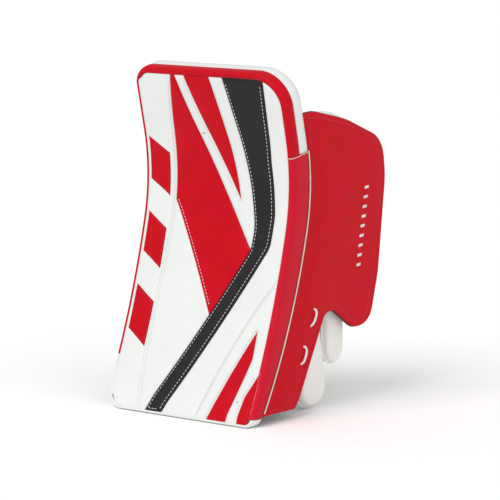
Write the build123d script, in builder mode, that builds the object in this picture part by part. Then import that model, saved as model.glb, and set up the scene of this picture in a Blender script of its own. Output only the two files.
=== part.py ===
from build123d import *

import os
from collections import namedtuple
from functools import lru_cache
from math import cos, radians, sin, tan

# A hockey goaltender's blocker, stick-hand side, standing on the toe of its board.
# Millimetres. X runs across the board towards the thumb side, Y from the face to the hand, Z up.
# The origin is the centre of the flat toe that the board stands on.

# ---------------------------------------------------------------- driving dimensions
WIDTH = 203.0  # board width, 8 in
FACE_LENGTH = 381.0  # board length along the curved face, 15 in
BORDER = 7.0  # width of the binding that shows round the face
SKIN = 1.4  # synthetic leather
COVER = 1.2  # lining on the back of the board
FRONT_FOAM = 8.0
STIFFENER = 2.0
TOE_RISE = 10.0  # height of the white toe gusset
OUTER_TOE_RISE = 62.0  # and on the outer side
BINDING_DEPTH = 13.0  # how far the edge binding reaches back from the face
WALL_SEAM = ((-60.0, 252.0), (160.0, 298.0))  # slanted top of the thumb-side wall, (y, z)
PIPING = 1.8
PIPING_TOP = 283.0
FOAM_INSET = 4.2  # front foam, inside the outline
STIFFENER_INSET = 2.0
TOE_INSET = 2.5  # foam and panels at the toe, which has no binding
REACH = 600.0  # longer than anything it cuts
AHEAD = 120.0  # in front of the face, clear of every other piece
BESIDE = 20.0  # past the outline, clear of the edge
PROUD = 5.0  # how far a cutting shape stands out of what it cuts
PAST_TOE = 1.0  # degrees that the profile is drawn on below the toe

# Side view of the board: toe position, tilt from upright, then two arcs and a straight top.
Profile = namedtuple("Profile", "toe tilt radii turns")
FRONT = Profile(toe=-8.0, tilt=25.0, radii=(1010.0, 220.0), turns=(12.0, 26.0))
BACK = Profile(toe=8.0, tilt=31.0, radii=(689.0, 215.0), turns=(18.0, 26.0))
TOP_TILT = FRONT.tilt - sum(FRONT.turns)

# Corner radii of the board outline, on the outer side and on the thumb side.
TOE_RADII = (26.0, 9.0)
TOP_RADII = (20.0, 38.0)

# Side shield: flat laminate behind the thumb-side edge of the board.
SHIELD_X = WIDTH / 2  # outer surface
SHIELD_LINER = 5.5
SHIELD_PLATE = 2.0
SHIELD_INNER = SHIELD_X - SKIN - SHIELD_PLATE - SHIELD_LINER
SHIELD_PLATE_INSET = 2.5
GAP = 0.4  # clearance between pieces that only touch

# Its outline: (y, z, corner radius). The first and last corners are inside the board, which cuts them off.
SHIELD_OUTLINE = (
    (40, 320, 0),
    (104, 324, 40),
    (160, 312, 80),
    (226, 286.5, 34),
    (231.5, 245, 80),
    (219, 140, 80),
    (204, 86, 24),
    (176, 83.5, 20),
    (138, 109, 13),
    (122, 105, 11),
    (76.5, 18, 8),
    (70, 9.5, 6),
    (-20, 9.5, 0),
)

# Hand side.
PAD = 9.0  # foam pad under the back of the hand
PAD_WIDTH = 100.0
PAD_BOTTOM = 118.0
PAD_TOP = 318.0
PAD_ROUND = 18.0
HAND_X = 9.0  # middle of the hand
WALL = 2.0  # glove leather and its lining
GLOVE_BOTTOM = 142.0
GLOVE_TOP = 255.0
GLOVE_WIDTH = 106.0
GLOVE_DEPTH = 60.0
GLOVE_ROUND = 24.0
BACK_SHARE = 14.0  # depth of the glove that belongs to its back half
PATCH = 1.2  # palm reinforcement
PATCH_BOTTOM = 150.0
PATCH_TOP = 232.0
PATCH_WIDTH = 78.0
PATCH_X = HAND_X - 4.0
PATCH_ROUND = 14.0
THUMB_TUBE = 11.0  # outer radius of the passage to the thumb
THUMB_RUN = ((52.0, 132.0, 231.0), (74.5, 152.5, 208.5))
THUMB_TURN = ((1, 0.2, 0), (0, 0.25, -1))  # direction of the passage at its two ends
CUFF_BOTTOM = 258.0
CUFF_TOP = 308.0
CUFF_WALL = 8.0
CUFF_WIDTH = 118.0
CUFF_REAR = 165.0
CUFF_ROUND = 12.0
CUFF_SIDE = 140.0  # the cuff's sides, which run into the board
CUFF_NOTCH = 16.0  # radius of the dip in the cuff's rear edge
CUFF_PAD_X = (71.5, 92.2)
CUFF_PAD_OUTLINE = ((105, 252), (105, 318), (137, 324), (171, 316), (171, 252))
CUFF_PAD_RADII = (16, 60, 14)
CUFF_PAD_EDGE = 6.0

# Finger stalls: two leather tubes each, hinged on the back of the finger.
KNUCKLE_Y = 88.0
KNUCKLE_Z = 140.5
BASE_LENGTH = 46.0
TIP_LENGTH = 34.0
BASE_CURL = 12.0  # lean of the first tube from straight down, at rest
TIP_CURL = 50.0  # lean of the second
KNUCKLE_CUT = 36.5  # slope of the first tube's mouth on the palm side
JOINT_CUT = 37.5  # slope of both mouths at the middle joint
STALL_WALL = 1.6
FINGERS = {"index": (46.5, 12.2), "middle": (20.8, 12.2), "ring": (-4.6, 12.0), "little": (-29.0, 11.2)}

# Thumb-side guards: each is the hull of two circles, (y, z, radius), between two x planes.
INDEX_GUARD_X = (68.0, 91.0)
INDEX_GUARD = ((108.0, 112.0, 24.0), (121.0, 25.5, 25.5))
INDEX_EDGE = 9.0
INDEX_PLATE_INSET = 8.0
THUMB_GUARD_X = (63.0, 88.0)
THUMB_GUARD = ((160.0, 184.0, 22.0), (163.5, 60.0, 17.5))
THUMB_EDGE = 8.0
THUMB_PLATE_INSET = 9.0
THUMB_POCKET_X = (65.5, 82.5)
THUMB_POCKET_ROUND = 7.5
THUMB_POCKET_END = 7.0
THUMB_MOUTH = 15.0  # how far the thumb's lining stands out of its hinge line
THUMB_SPAN = 28.0  # thumb passage, front to back
THUMB_DEPTH = 92.0  # and down the guard from its hinge
THUMB_PLATE_X = 84.0
GUARD_PLATE = 2.0

# Shield laces: the middle of each stitch, (y, z), and its run along the shield's edge.
LACES = ((97.0, 103.7), (80.3, 65.5))
LACE_RUN = Vector(0, 6.0, 20.0)
LACE_RADIUS = 1.4
LACE_ROOT = 7.5  # how far its ends reach into the shield
LACE_BEND = 1.8

# Wrist strap, hinged at its sewn end on the outer side.
STRAP_HINGE = (-51.5, 169.2)
STRAP_END = 59.0
STRAP_THICKNESS = 2.2
STRAP_BOTTOM = 267.0
STRAP_TOP = 305.0
ANCHOR_START = 112.0
ANCHOR_END = 3.0  # short of the hinge
HOOK_PATCH = (40.0, 1.0)
HOOK_BORDER = 3.0
PATCH_BORDER = 2.0  # both patches stop this far from the strap's end
LOOP_PATCH = (56.0, 1.2, 20.0)
LOOP_RISE = 8.0  # middle of the loop patch above the strap's lower edge
TAB = 9.0
TAB_ROUND = 7.0

# Screws that hold the hand pad to the board, (x, z).
SCREWS = ((-20.0, 205.0), (38.0, 205.0), (-20.0, 285.0), (38.0, 285.0))
SCREW_RADIUS = 2.4
SCREW_HEAD = (5.5, 2.0)  # radius, height
SOCKET = (2.2, 1.2)
HEAD_SEAT = 31.5  # under the screw heads, behind the face
NUT_FLANGE = (8.0, 1.4)
NUT_BARREL = (3.6, 12.0)
THREAD_PLAY = 0.1


# ---------------------------------------------------------------- board profile
def contour(base, behind):
    """Draws the board's side profile, moved back by `behind` and run on past the toe; gives both ends."""
    tilt = radians(base.tilt)
    under = radians(PAST_TOE)
    point = Vector(base.toe + behind * cos(tilt), -behind * sin(tilt))
    reach = base.radii[0] + behind
    point -= Vector(cos(tilt) - cos(tilt + under), sin(tilt + under) - sin(tilt)) * reach
    below, tilt = point, tilt + under
    for radius, turn in zip(base.radii, (base.turns[0] + PAST_TOE, base.turns[1])):
        after = tilt - radians(turn)
        JernArc(point, (sin(tilt), cos(tilt)), radius + behind, turn)
        point += Vector(cos(after) - cos(tilt), sin(tilt) - sin(after)) * (radius + behind)
        tilt = after
    above = point + Vector(sin(tilt), cos(tilt)) * 110
    Line(point, above)
    return below, above


def profile_point(base, height):
    """Y of a board profile at a height on its lower arc, upper arc or straight top."""
    tilt, turned = base.tilt, base.tilt - base.turns[0]
    end_tilt = turned - base.turns[1]
    lower, upper = base.radii
    y, z = base.toe, 0.0
    for radius, begin, end in ((lower, tilt, turned), (upper, turned, end_tilt)):
        span = radius * (sin(radians(begin)) - sin(radians(end)))
        if height <= z + span:
            angle = sin(radians(begin)) - (height - z) / radius
            return y + radius * ((1 - angle**2) ** 0.5 - cos(radians(begin)))
        y += radius * (cos(radians(end)) - cos(radians(begin)))
        z += span
    return y + (height - z) * sin(radians(end_tilt)) / cos(radians(end_tilt))


def face_top():
    """Centre of the board's top edge, on the face."""
    turned = FRONT.tilt - FRONT.turns[0]
    arcs = [radians(turn) * radius for turn, radius in zip(FRONT.turns, FRONT.radii)]
    lower, upper = FRONT.radii
    tilts = [radians(angle) for angle in (FRONT.tilt, turned, TOP_TILT)]
    z = lower * (sin(tilts[0]) - sin(tilts[1])) + upper * (sin(tilts[1]) - sin(tilts[2]))
    z += (FACE_LENGTH - sum(arcs)) * cos(tilts[2])
    return Vector(0, profile_point(FRONT, z), z)


TOP_PLANE = Plane(
    origin=face_top(),
    x_dir=(1, 0, 0),
    z_dir=(0, -cos(radians(TOP_TILT)), sin(radians(TOP_TILT))),
)


@lru_cache
def outline_block(inset, toe_inset=None):
    """The board's front outline, moved in by `inset` and carried right through in depth."""
    toe_inset = inset if toe_inset is None else toe_inset
    with BuildPart() as block:
        with BuildSketch(Plane.XZ):
            with Locations((0, toe_inset)):
                Rectangle(WIDTH - 2 * inset, REACH, align=(Align.CENTER, Align.MIN))
            fillet(vertices().group_by(Axis.Y)[0].sort_by(Axis.X)[0], TOE_RADII[0] - inset)
            fillet(vertices().group_by(Axis.Y)[0].sort_by(Axis.X)[-1], TOE_RADII[1] - inset)
        extrude(amount=REACH, both=True)
        with BuildSketch(TOP_PLANE):
            with Locations((0, -inset)):
                Rectangle(WIDTH - 2 * inset, REACH, align=(Align.CENTER, Align.MAX))
            fillet(vertices().group_by(Axis.Y)[-1].sort_by(Axis.X)[0], TOP_RADII[0] - inset)
            fillet(vertices().group_by(Axis.Y)[-1].sort_by(Axis.X)[-1], TOP_RADII[1] - inset)
        extrude(amount=REACH, both=True, mode=Mode.INTERSECT)
    return block.part


@lru_cache
def layer(near, near_depth, far, far_depth, inset, toe_inset=None):
    """A curved sheet of the board between two profiles, cut to the outline."""
    with BuildPart() as sheet:
        with BuildSketch(Plane.YZ):
            with BuildLine():
                near_low, near_high = contour(near, near_depth)
                far_low, far_high = contour(far, far_depth)
                Line(near_low, far_low)
                Line(near_high, far_high)
            make_face()
        extrude(amount=WIDTH, both=True)
        add(outline_block(inset, toe_inset), mode=Mode.INTERSECT)
    return sheet.part


os.makedirs("parts", exist_ok=True)

# Distances behind the face, and the usual way to place a cylinder.
PLATE_NEAR = SKIN + FRONT_FOAM
PLATE_FAR = PLATE_NEAR + STIFFENER
NUT_END = PLATE_NEAR + NUT_BARREL[1]
BOARD_DEPTH = 60.0
STANDING = (Align.CENTER, Align.CENTER, Align.MIN)


def finish(builder, name):
    """Labels a finished piece and writes it."""
    builder.part.label = name
    export_step(builder.part, f"parts/{name}.step")


def screw_planes():
    """One plane per pad screw, on the face and looking square through the board."""
    planes = []
    for x, z in SCREWS:
        run = profile_point(FRONT, z + 1) - profile_point(FRONT, z - 1)
        planes.append(Plane(origin=(x, profile_point(FRONT, z), z), x_dir=(1, 0, 0), z_dir=(0, 2, -run)))
    return planes


def drill(radius, low, high):
    """Cuts one round hole per pad screw, between two distances from the face."""
    for plane in screw_planes():
        with Locations(plane):
            with Locations((0, 0, low)):
                Cylinder(radius, high - low, align=STANDING, mode=Mode.SUBTRACT)


# ---------------------------------------------------------------- board core

with BuildPart() as front_foam:
    add(layer(FRONT, SKIN, FRONT, PLATE_NEAR, FOAM_INSET, TOE_INSET))
    drill(NUT_FLANGE[0] + GAP, PLATE_NEAR - NUT_FLANGE[1] - 2 * GAP, BOARD_DEPTH)
finish(front_foam, "front_foam")

with BuildPart() as stiffener:
    add(layer(FRONT, PLATE_NEAR, FRONT, PLATE_FAR, STIFFENER_INSET))
    drill(NUT_BARREL[0] + THREAD_PLAY, 0, BOARD_DEPTH)
finish(stiffener, "stiffener")

with BuildPart() as back_foam:
    add(layer(FRONT, PLATE_FAR, BACK, -COVER, SKIN))
    drill(NUT_BARREL[0] + THREAD_PLAY, 0, NUT_END)
    drill(SCREW_RADIUS + GAP, 0, BOARD_DEPTH)
finish(back_foam, "back_foam")

with BuildPart() as back_cover:
    add(layer(BACK, -COVER, BACK, 0, SKIN))
    drill(SCREW_RADIUS + GAP, 0, BOARD_DEPTH)
finish(back_cover, "back_cover")

with BuildPart() as tee_nuts:
    for plane in screw_planes():
        with Locations(plane):
            with Locations((0, 0, PLATE_NEAR - NUT_FLANGE[1] - GAP)):
                Cylinder(*NUT_FLANGE, align=STANDING)
                Cylinder(NUT_BARREL[0], NUT_BARREL[1], align=STANDING)
                Cylinder(SCREW_RADIUS + THREAD_PLAY, BOARD_DEPTH, mode=Mode.SUBTRACT)
finish(tee_nuts, "tee_nuts")

# ---------------------------------------------------------------- board edge skins
with BuildPart() as wall_region:
    # Everything on the thumb side below the slanted seam.
    seam_front, seam_back = WALL_SEAM
    with BuildSketch(Plane.YZ.offset(WIDTH / 2)):
        with BuildLine():
            Polyline((seam_front[0], TOE_RISE), (seam_back[0], TOE_RISE), seam_back, seam_front, close=True)
        make_face()
    extrude(amount=BESIDE, both=True)

with BuildPart() as toe_region:
    # The bottom strip, and the outer side up to where its red binding starts.
    Box(REACH, REACH, 2 * TOE_RISE)
    with Locations((-WIDTH / 2, 0, 0)):
        Box(WIDTH / 2, REACH, 2 * OUTER_TOE_RISE)

with BuildPart() as edge_skin:
    # All of the board's skin except the face panels and the back cover.
    add(layer(FRONT, 0, BACK, 0, 0))
    add(layer(FRONT, SKIN, BACK, PROUD, SKIN), mode=Mode.SUBTRACT)
    add(layer(FRONT, -PROUD, FRONT, SKIN, BORDER, TOE_INSET), mode=Mode.SUBTRACT)

behind_binding = layer(FRONT, BINDING_DEPTH, BACK, PROUD, -PROUD)

with BuildPart() as edge_binding:
    add(edge_skin.part)
    add(behind_binding, mode=Mode.SUBTRACT)
    add(wall_region.part, mode=Mode.SUBTRACT)
    add(toe_region.part, mode=Mode.SUBTRACT)
finish(edge_binding, "edge_binding")

with BuildPart() as edge_gusset:
    add(edge_skin.part)
    add(behind_binding, mode=Mode.INTERSECT)
    add(wall_region.part, mode=Mode.SUBTRACT)
    add(toe_region.part, mode=Mode.SUBTRACT)
finish(edge_gusset, "edge_gusset")

with BuildPart() as inner_sidewall:
    add(edge_skin.part)
    add(wall_region.part, mode=Mode.INTERSECT)
finish(inner_sidewall, "inner_sidewall")

with BuildPart() as toe_gusset:
    add(edge_skin.part)
    add(toe_region.part, mode=Mode.INTERSECT)
finish(toe_gusset, "toe_gusset")

with BuildPart() as piping:
    with BuildSketch(Plane.YZ.offset(WIDTH / 2)):
        with BuildLine():
            near_low, near_high = contour(BACK, -PIPING / 2)
            far_low, far_high = contour(BACK, PIPING / 2)
            Line(near_low, far_low)
            Line(near_high, far_high)
        make_face()
    extrude(amount=PIPING)
    with Locations((WIDTH / 2, 0, TOE_RISE + 1)):
        Box(BESIDE, REACH, PIPING_TOP - TOE_RISE, align=STANDING, mode=Mode.INTERSECT)
finish(piping, "piping")


# ---------------------------------------------------------------- face panels, outlines seen from the front
def left_seam():
    return Spline((-48, 380), (-57, 300), (-58, 222), (-62, 110), (-57, 27), (-49, -5))


def stripe_left():
    corners = ((15, 380), (44, 245), (53, 200), (52, 178), (-37.5, 19.5), (-47, -5))
    return FilletPolyline(*corners, radius=(60, 60, 26, 40))


def stripe_right():
    corners = ((74.5, 380), (72, 270), (78, 215), (77, 182), (-17, 13), (-24, -5))
    return FilletPolyline(*corners, radius=(90, 60, 26, 40))


def lower_seam():
    return ThreePointArc((100, 158), (58, 91), (22, -5))


def region(edge, side):
    """The flat area between one seam and far off to one side of the face."""
    with BuildSketch(Plane.XZ) as area:
        with BuildLine():
            seam = edge()
            Polyline(seam @ 1, (side, (seam @ 1).Y), (side, (seam @ 0).Y), seam @ 0)
        make_face()
    return area.sketch


def panel(*cuts):
    """Part of the face skin: each cut is (sketch, mode)."""
    with BuildPart() as piece:
        add(layer(FRONT, 0, FRONT, SKIN, BORDER, TOE_INSET))
        for sketch, mode in cuts:
            extrude(sketch, amount=REACH / 2, both=True, mode=mode)
    return piece


KEEP, DROP = Mode.INTERSECT, Mode.SUBTRACT
LEFT_OF_SEAM = region(left_seam, -WIDTH)
RIGHT_OF_STRIPE_LEFT = region(stripe_left, WIDTH)
RIGHT_OF_STRIPE = region(stripe_right, WIDTH)
BELOW_LOWER_SEAM = region(lower_seam, WIDTH)

with BuildSketch(Plane.XZ) as field_area:
    with BuildLine():
        field_edge = ThreePointArc((-52, 380), (-2, 258), (60, 168))
        Polyline(field_edge @ 1, (14, 103), (-66, 236), (-120, 236), (-120, 380), field_edge @ 0)
    make_face()

with BuildSketch(Plane.XZ) as below_field:
    with BuildLine():
        Polyline((60, 27), (14, 103), (-66, 236), (-120, 236), (-120, -20), (60, -20), close=True)
    make_face()

with BuildSketch(Plane.XZ) as wedge_area:
    with BuildLine():
        wedge_left = ThreePointArc((-40, 380), (-1, 284), (31, 229))
        wedge_right = ThreePointArc(wedge_left @ 1, (20, 280), (-4, 380))
        Line(wedge_right @ 1, wedge_left @ 0)
    make_face()

with BuildSketch(Plane.XZ) as ray_area:
    with BuildLine():
        ray_right = FilletPolyline((80, 96), (81.5, 68), (66, 10), (67, -5), radius=20)
        ray_left = ThreePointArc((38, -5), (60, 55), (80, 96))
        Line(ray_right @ 1, ray_left @ 0)
    make_face()

with BuildSketch(Plane.XZ) as corner_area:
    with BuildLine():
        corner_edge = FilletPolyline((100, 65), (83, 30), (80, 10), (82, -5), radius=20)
        Polyline(corner_edge @ 1, (120, -5), (120, 65), corner_edge @ 0)
    make_face()

face_outer_column = panel((LEFT_OF_SEAM, KEEP))
finish(face_outer_column, "face_outer_column")

face_stripe = panel((RIGHT_OF_STRIPE_LEFT, KEEP), (RIGHT_OF_STRIPE, DROP))
finish(face_stripe, "face_stripe")

face_field = panel((LEFT_OF_SEAM, DROP), (RIGHT_OF_STRIPE_LEFT, DROP), (field_area.sketch, KEEP))
finish(face_field, "face_field")

face_lower_panel = panel((LEFT_OF_SEAM, DROP), (RIGHT_OF_STRIPE_LEFT, DROP), (below_field.sketch, KEEP))
finish(face_lower_panel, "face_lower_panel")

face_wedge = panel((RIGHT_OF_STRIPE_LEFT, DROP), (wedge_area.sketch, KEEP))
finish(face_wedge, "face_wedge")

face_rays = panel(
    (LEFT_OF_SEAM, DROP),
    (RIGHT_OF_STRIPE_LEFT, DROP),
    (field_area.sketch, DROP),
    (below_field.sketch, DROP),
    (wedge_area.sketch, DROP),
)
finish(face_rays, "face_rays")

face_inner_column = panel((RIGHT_OF_STRIPE, KEEP), (BELOW_LOWER_SEAM, DROP))
finish(face_inner_column, "face_inner_column")

face_toe_ray = panel((ray_area.sketch, KEEP))
finish(face_toe_ray, "face_toe_ray")

face_toe_corner = panel((corner_area.sketch, KEEP))
finish(face_toe_corner, "face_toe_corner")

face_toe_panel = panel((BELOW_LOWER_SEAM, KEEP), (ray_area.sketch, DROP), (corner_area.sketch, DROP))
finish(face_toe_panel, "face_toe_panel")


# ---------------------------------------------------------------- side shield
def shield_layer(near, far, inset=0):
    """A flat layer of the side shield between two x planes, cut back from the board."""
    with BuildPart() as sheet:
        with BuildSketch(Plane.YZ.offset(near)):
            with BuildLine():
                points = [(y, z) for y, z, _ in SHIELD_OUTLINE]
                edge = FilletPolyline(*points, radius=[r for _, _, r in SHIELD_OUTLINE[1:-1]])
                Line(edge @ 1, edge @ 0)
            make_face()
            if inset:
                offset(amount=-inset)
        extrude(amount=far - near)
        add(layer(FRONT, -AHEAD, BACK, GAP, -BESIDE), mode=Mode.SUBTRACT)
        for y, z in LACES:
            for end in (-0.5, 0.5):
                middle = Vector(near, y, z) + LACE_RUN * end
                with Locations(middle):
                    Cylinder(LACE_RADIUS + GAP, 2 * BESIDE, rotation=(0, 90, 0), mode=Mode.SUBTRACT)
    return sheet


shield_liner = shield_layer(SHIELD_INNER, SHIELD_INNER + SHIELD_LINER)
finish(shield_liner, "shield_liner")

shield_plate = shield_layer(SHIELD_INNER + SHIELD_LINER, SHIELD_X - SKIN, SHIELD_PLATE_INSET)
finish(shield_plate, "shield_plate")

shield_skin = shield_layer(SHIELD_X - SKIN, SHIELD_X)
finish(shield_skin, "shield_skin")

with BuildPart() as shield_laces:
    for y, z in LACES:
        along = LACE_RUN.normalized()
        stitch = Plane(origin=(SHIELD_X, y, z), x_dir=along, z_dir=(0, along.Z, -along.Y))
        half, crown = LACE_RUN.length / 2, LACE_RADIUS + GAP
        corners = ((-half, -LACE_ROOT), (-half, crown), (half, crown), (half, -LACE_ROOT))
        with BuildLine(stitch) as run:
            FilletPolyline(*corners, radius=LACE_BEND)
        with BuildSketch(Plane(origin=run.line @ 0, z_dir=run.line % 0)):
            Circle(LACE_RADIUS)
        sweep(path=run.line)
finish(shield_laces, "shield_laces")


# ---------------------------------------------------------------- hand pad and its screws
with BuildPart() as hand_pad:
    add(layer(BACK, 0, BACK, PAD, SKIN))
    with BuildSketch(Plane.XZ):
        with Locations((HAND_X, (PAD_BOTTOM + PAD_TOP) / 2)):
            RectangleRounded(PAD_WIDTH, PAD_TOP - PAD_BOTTOM, PAD_ROUND)
    extrude(amount=REACH, both=True, mode=Mode.INTERSECT)
    drill(SCREW_RADIUS + GAP, 0, BOARD_DEPTH)
    drill(SCREW_HEAD[0] + GAP, HEAD_SEAT, BOARD_DEPTH)
finish(hand_pad, "hand_pad")

with BuildPart() as pad_screws:
    for plane in screw_planes():
        with Locations(plane):
            with Locations((0, 0, PLATE_NEAR)):
                Cylinder(SCREW_RADIUS, HEAD_SEAT - PLATE_NEAR, align=STANDING)
            with Locations((0, 0, HEAD_SEAT)):
                Cylinder(*SCREW_HEAD, align=STANDING)
        with BuildSketch(plane.offset(HEAD_SEAT + SCREW_HEAD[1])):
            RegularPolygon(SOCKET[0], 6)
        extrude(amount=-SOCKET[1], mode=Mode.SUBTRACT)
finish(pad_screws, "pad_screws")


# ---------------------------------------------------------------- glove
@lru_cache
def glove_form(grow, low=GLOVE_BOTTOM, high=GLOVE_TOP):
    """Solid of the glove body, which follows the back of the board, grown by `grow` all round."""
    with BuildLine() as side_view:
        contour(BACK, PAD + GAP + GLOVE_DEPTH / 2)
    spine = Plane.YZ.from_local_coords(side_view.line)
    with BuildPart() as form:
        with BuildSketch(Plane(origin=spine @ 0, x_dir=(1, 0, 0), z_dir=spine % 0)):
            with Locations((HAND_X, 0)):
                RectangleRounded(GLOVE_WIDTH + 2 * grow, GLOVE_DEPTH + 2 * grow, GLOVE_ROUND + grow)
        sweep(path=spine)
        with Locations((0, 0, low)):
            Box(REACH, REACH, high - low, align=STANDING, mode=Mode.INTERSECT)
    return form.part


@lru_cache
def thumb_channel(radius):
    """Solid of the passage that leads the thumb out of the glove."""
    with BuildPart() as channel:
        with BuildLine() as run:
            Spline(*THUMB_RUN, tangents=THUMB_TURN)
        with BuildSketch(Plane(origin=run.line @ 0, z_dir=run.line % 0)):
            Circle(radius)
        sweep(path=run.line)
    return channel.part


with BuildPart() as glove_back:
    add(glove_form(0))
    add(glove_form(-WALL, GLOVE_BOTTOM - PROUD, GLOVE_TOP + PROUD), mode=Mode.SUBTRACT)
    add(layer(BACK, 0, BACK, PAD + BACK_SHARE, -BESIDE), mode=Mode.INTERSECT)
finish(glove_back, "glove_back")

with BuildPart() as palm:
    add(glove_form(0))
    add(glove_form(-WALL, GLOVE_BOTTOM - PROUD, GLOVE_TOP + PROUD), mode=Mode.SUBTRACT)
    add(layer(BACK, 0, BACK, PAD + BACK_SHARE, -BESIDE), mode=Mode.SUBTRACT)
    add(thumb_channel(THUMB_TUBE - WALL), mode=Mode.SUBTRACT)
finish(palm, "palm")

with BuildPart() as palm_patch:
    add(glove_form(PATCH, PATCH_BOTTOM, PATCH_TOP))
    add(glove_form(0), mode=Mode.SUBTRACT)
    with BuildSketch(Plane.XZ):
        with Locations((PATCH_X, (PATCH_BOTTOM + PATCH_TOP) / 2)):
            RectangleRounded(PATCH_WIDTH, PATCH_TOP - PATCH_BOTTOM, PATCH_ROUND)
    extrude(amount=-REACH, mode=Mode.INTERSECT)
    add(layer(BACK, 0, BACK, PAD + GLOVE_DEPTH / 2, -BESIDE), mode=Mode.SUBTRACT)
finish(palm_patch, "palm_patch")

with BuildPart() as thumb_gusset:
    add(thumb_channel(THUMB_TUBE))
    add(thumb_channel(THUMB_TUBE - WALL), mode=Mode.SUBTRACT)
    add(glove_form(GAP), mode=Mode.SUBTRACT)
finish(thumb_gusset, "thumb_gusset")

# ---------------------------------------------------------------- cuff
with BuildPart() as cuff:
    for shrink, mode in ((0, Mode.ADD), (CUFF_WALL, Mode.SUBTRACT)):
        with BuildSketch(Plane.XY.offset(CUFF_BOTTOM)):
            with Locations((HAND_X, CUFF_REAR - shrink)):
                Rectangle(CUFF_WIDTH - 2 * shrink, CUFF_SIDE, align=(Align.CENTER, Align.MAX))
            fillet(vertices().group_by(Axis.Y)[-1], CUFF_ROUND - shrink / 2)
        extrude(amount=CUFF_TOP - CUFF_BOTTOM, mode=mode)
    add(layer(FRONT, -AHEAD, BACK, GAP, -BESIDE), mode=Mode.SUBTRACT)
    with Locations((HAND_X, CUFF_REAR, CUFF_TOP)):
        Cylinder(CUFF_NOTCH, 2 * CUFF_NOTCH, rotation=(90, 0, 0), mode=Mode.SUBTRACT)
finish(cuff, "cuff")

with BuildPart() as cuff_pad:
    with BuildSketch(Plane.YZ.offset(CUFF_PAD_X[0])):
        with BuildLine():
            rim = FilletPolyline(*CUFF_PAD_OUTLINE, radius=CUFF_PAD_RADII)
            Line(rim @ 1, rim @ 0)
        make_face()
    extrude(amount=CUFF_PAD_X[1] - CUFF_PAD_X[0])
    fillet(edges().group_by(Axis.X)[0] + edges().group_by(Axis.X)[-1], CUFF_PAD_EDGE)
finish(cuff_pad, "cuff_pad")

# ---------------------------------------------------------------- wrist strap
HINGE_X, HINGE_Y = STRAP_HINGE
STRAP_HEIGHT = STRAP_TOP - STRAP_BOTTOM
STRAP_MIDDLE = (STRAP_TOP + STRAP_BOTTOM) / 2
STRAP_NEAR = HINGE_Y - STRAP_THICKNESS / 2

with BuildPart() as strap_anchor:
    with Locations((HAND_X - CUFF_WIDTH / 2 - STRAP_THICKNESS / 2, ANCHOR_START, STRAP_MIDDLE)):
        Box(
            STRAP_THICKNESS,
            HINGE_Y - ANCHOR_END - ANCHOR_START,
            STRAP_HEIGHT,
            align=(Align.CENTER, Align.MIN, Align.CENTER),
        )
finish(strap_anchor, "strap_anchor")

with BuildPart() as strap_web:
    with BuildSketch(Plane.XY.offset(STRAP_BOTTOM)):
        with Locations((HINGE_X, HINGE_Y)):
            Circle(STRAP_THICKNESS * 0.7)
        with Locations(((HINGE_X + STRAP_END) / 2, HINGE_Y)):
            Rectangle(STRAP_END - HINGE_X, STRAP_THICKNESS)
    extrude(amount=STRAP_HEIGHT)
finish(strap_web, "strap_web")

with BuildPart() as strap_hook_patch:
    with Locations((STRAP_END - PATCH_BORDER, STRAP_NEAR, STRAP_MIDDLE)):
        Box(*HOOK_PATCH, STRAP_HEIGHT - 2 * HOOK_BORDER, align=(Align.MAX, Align.MAX, Align.CENTER))
finish(strap_hook_patch, "strap_hook_patch")

with BuildPart() as strap_loop_patch:
    with Locations((STRAP_END - PATCH_BORDER, CUFF_REAR, STRAP_BOTTOM + LOOP_RISE)):
        Box(*LOOP_PATCH, align=(Align.MAX, Align.MIN, Align.CENTER))
finish(strap_loop_patch, "strap_loop_patch")

with BuildPart() as strap_tab:
    with BuildSketch(Plane.XZ.offset(-HINGE_Y)):
        with Locations((STRAP_END + GAP, STRAP_MIDDLE)):
            Rectangle(TAB, STRAP_HEIGHT, align=(Align.MIN, Align.CENTER))
        fillet(vertices().group_by(Axis.X)[-1], TAB_ROUND)
    extrude(amount=STRAP_THICKNESS * 0.75, both=True)
finish(strap_tab, "strap_tab")


# ---------------------------------------------------------------- finger stalls
def stall(hinge, lean, radius, length, mouth_cut, foot_cut):
    """One leather tube hung from a hinge on its back; without a foot cut it ends in a dome."""
    angle = radians(lean)
    along, palmward = Vector(0, sin(angle), -cos(angle)), Vector(0, cos(angle), sin(angle))
    far = 2 * radius + 1
    mouth = far * tan(radians(mouth_cut))
    with BuildPart() as tube:
        with BuildSketch(Plane(origin=hinge + palmward * radius, z_dir=along)):
            Circle(radius)
        extrude(amount=length)
        if foot_cut is None:
            with Locations(hinge + palmward * radius + along * length):
                Sphere(radius)
        with BuildSketch(Plane(origin=hinge + palmward * radius, z_dir=along)):
            Circle(radius - STALL_WALL)
        extrude(amount=length, mode=Mode.SUBTRACT)
        if foot_cut is None:
            with Locations(hinge + palmward * radius + along * length):
                Sphere(radius - STALL_WALL, mode=Mode.SUBTRACT)
        foot = length + far if foot_cut is None else length - far * tan(radians(foot_cut))
        back = length + far if foot_cut is None else length
        with BuildSketch(Plane(origin=hinge, x_dir=palmward, z_dir=(-1, 0, 0))):
            Polygon((-1, 0), (0, 0), (far, mouth), (far, foot), (0, back), (-1, back), align=None)
        extrude(amount=radius + 1, both=True, mode=Mode.INTERSECT)
    return tube


for finger, (across, size) in FINGERS.items():
    knuckle = Vector(across, KNUCKLE_Y, KNUCKLE_Z)
    base_tube = stall(knuckle, BASE_CURL, size, BASE_LENGTH, KNUCKLE_CUT, JOINT_CUT)
    finish(base_tube, f"stall_{finger}_base")
    lean = radians(BASE_CURL)
    joint = knuckle + Vector(0, sin(lean), -cos(lean)) * (BASE_LENGTH + GAP)
    finish(stall(joint, TIP_CURL, size, TIP_LENGTH, JOINT_CUT, None), f"stall_{finger}_tip")


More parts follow.
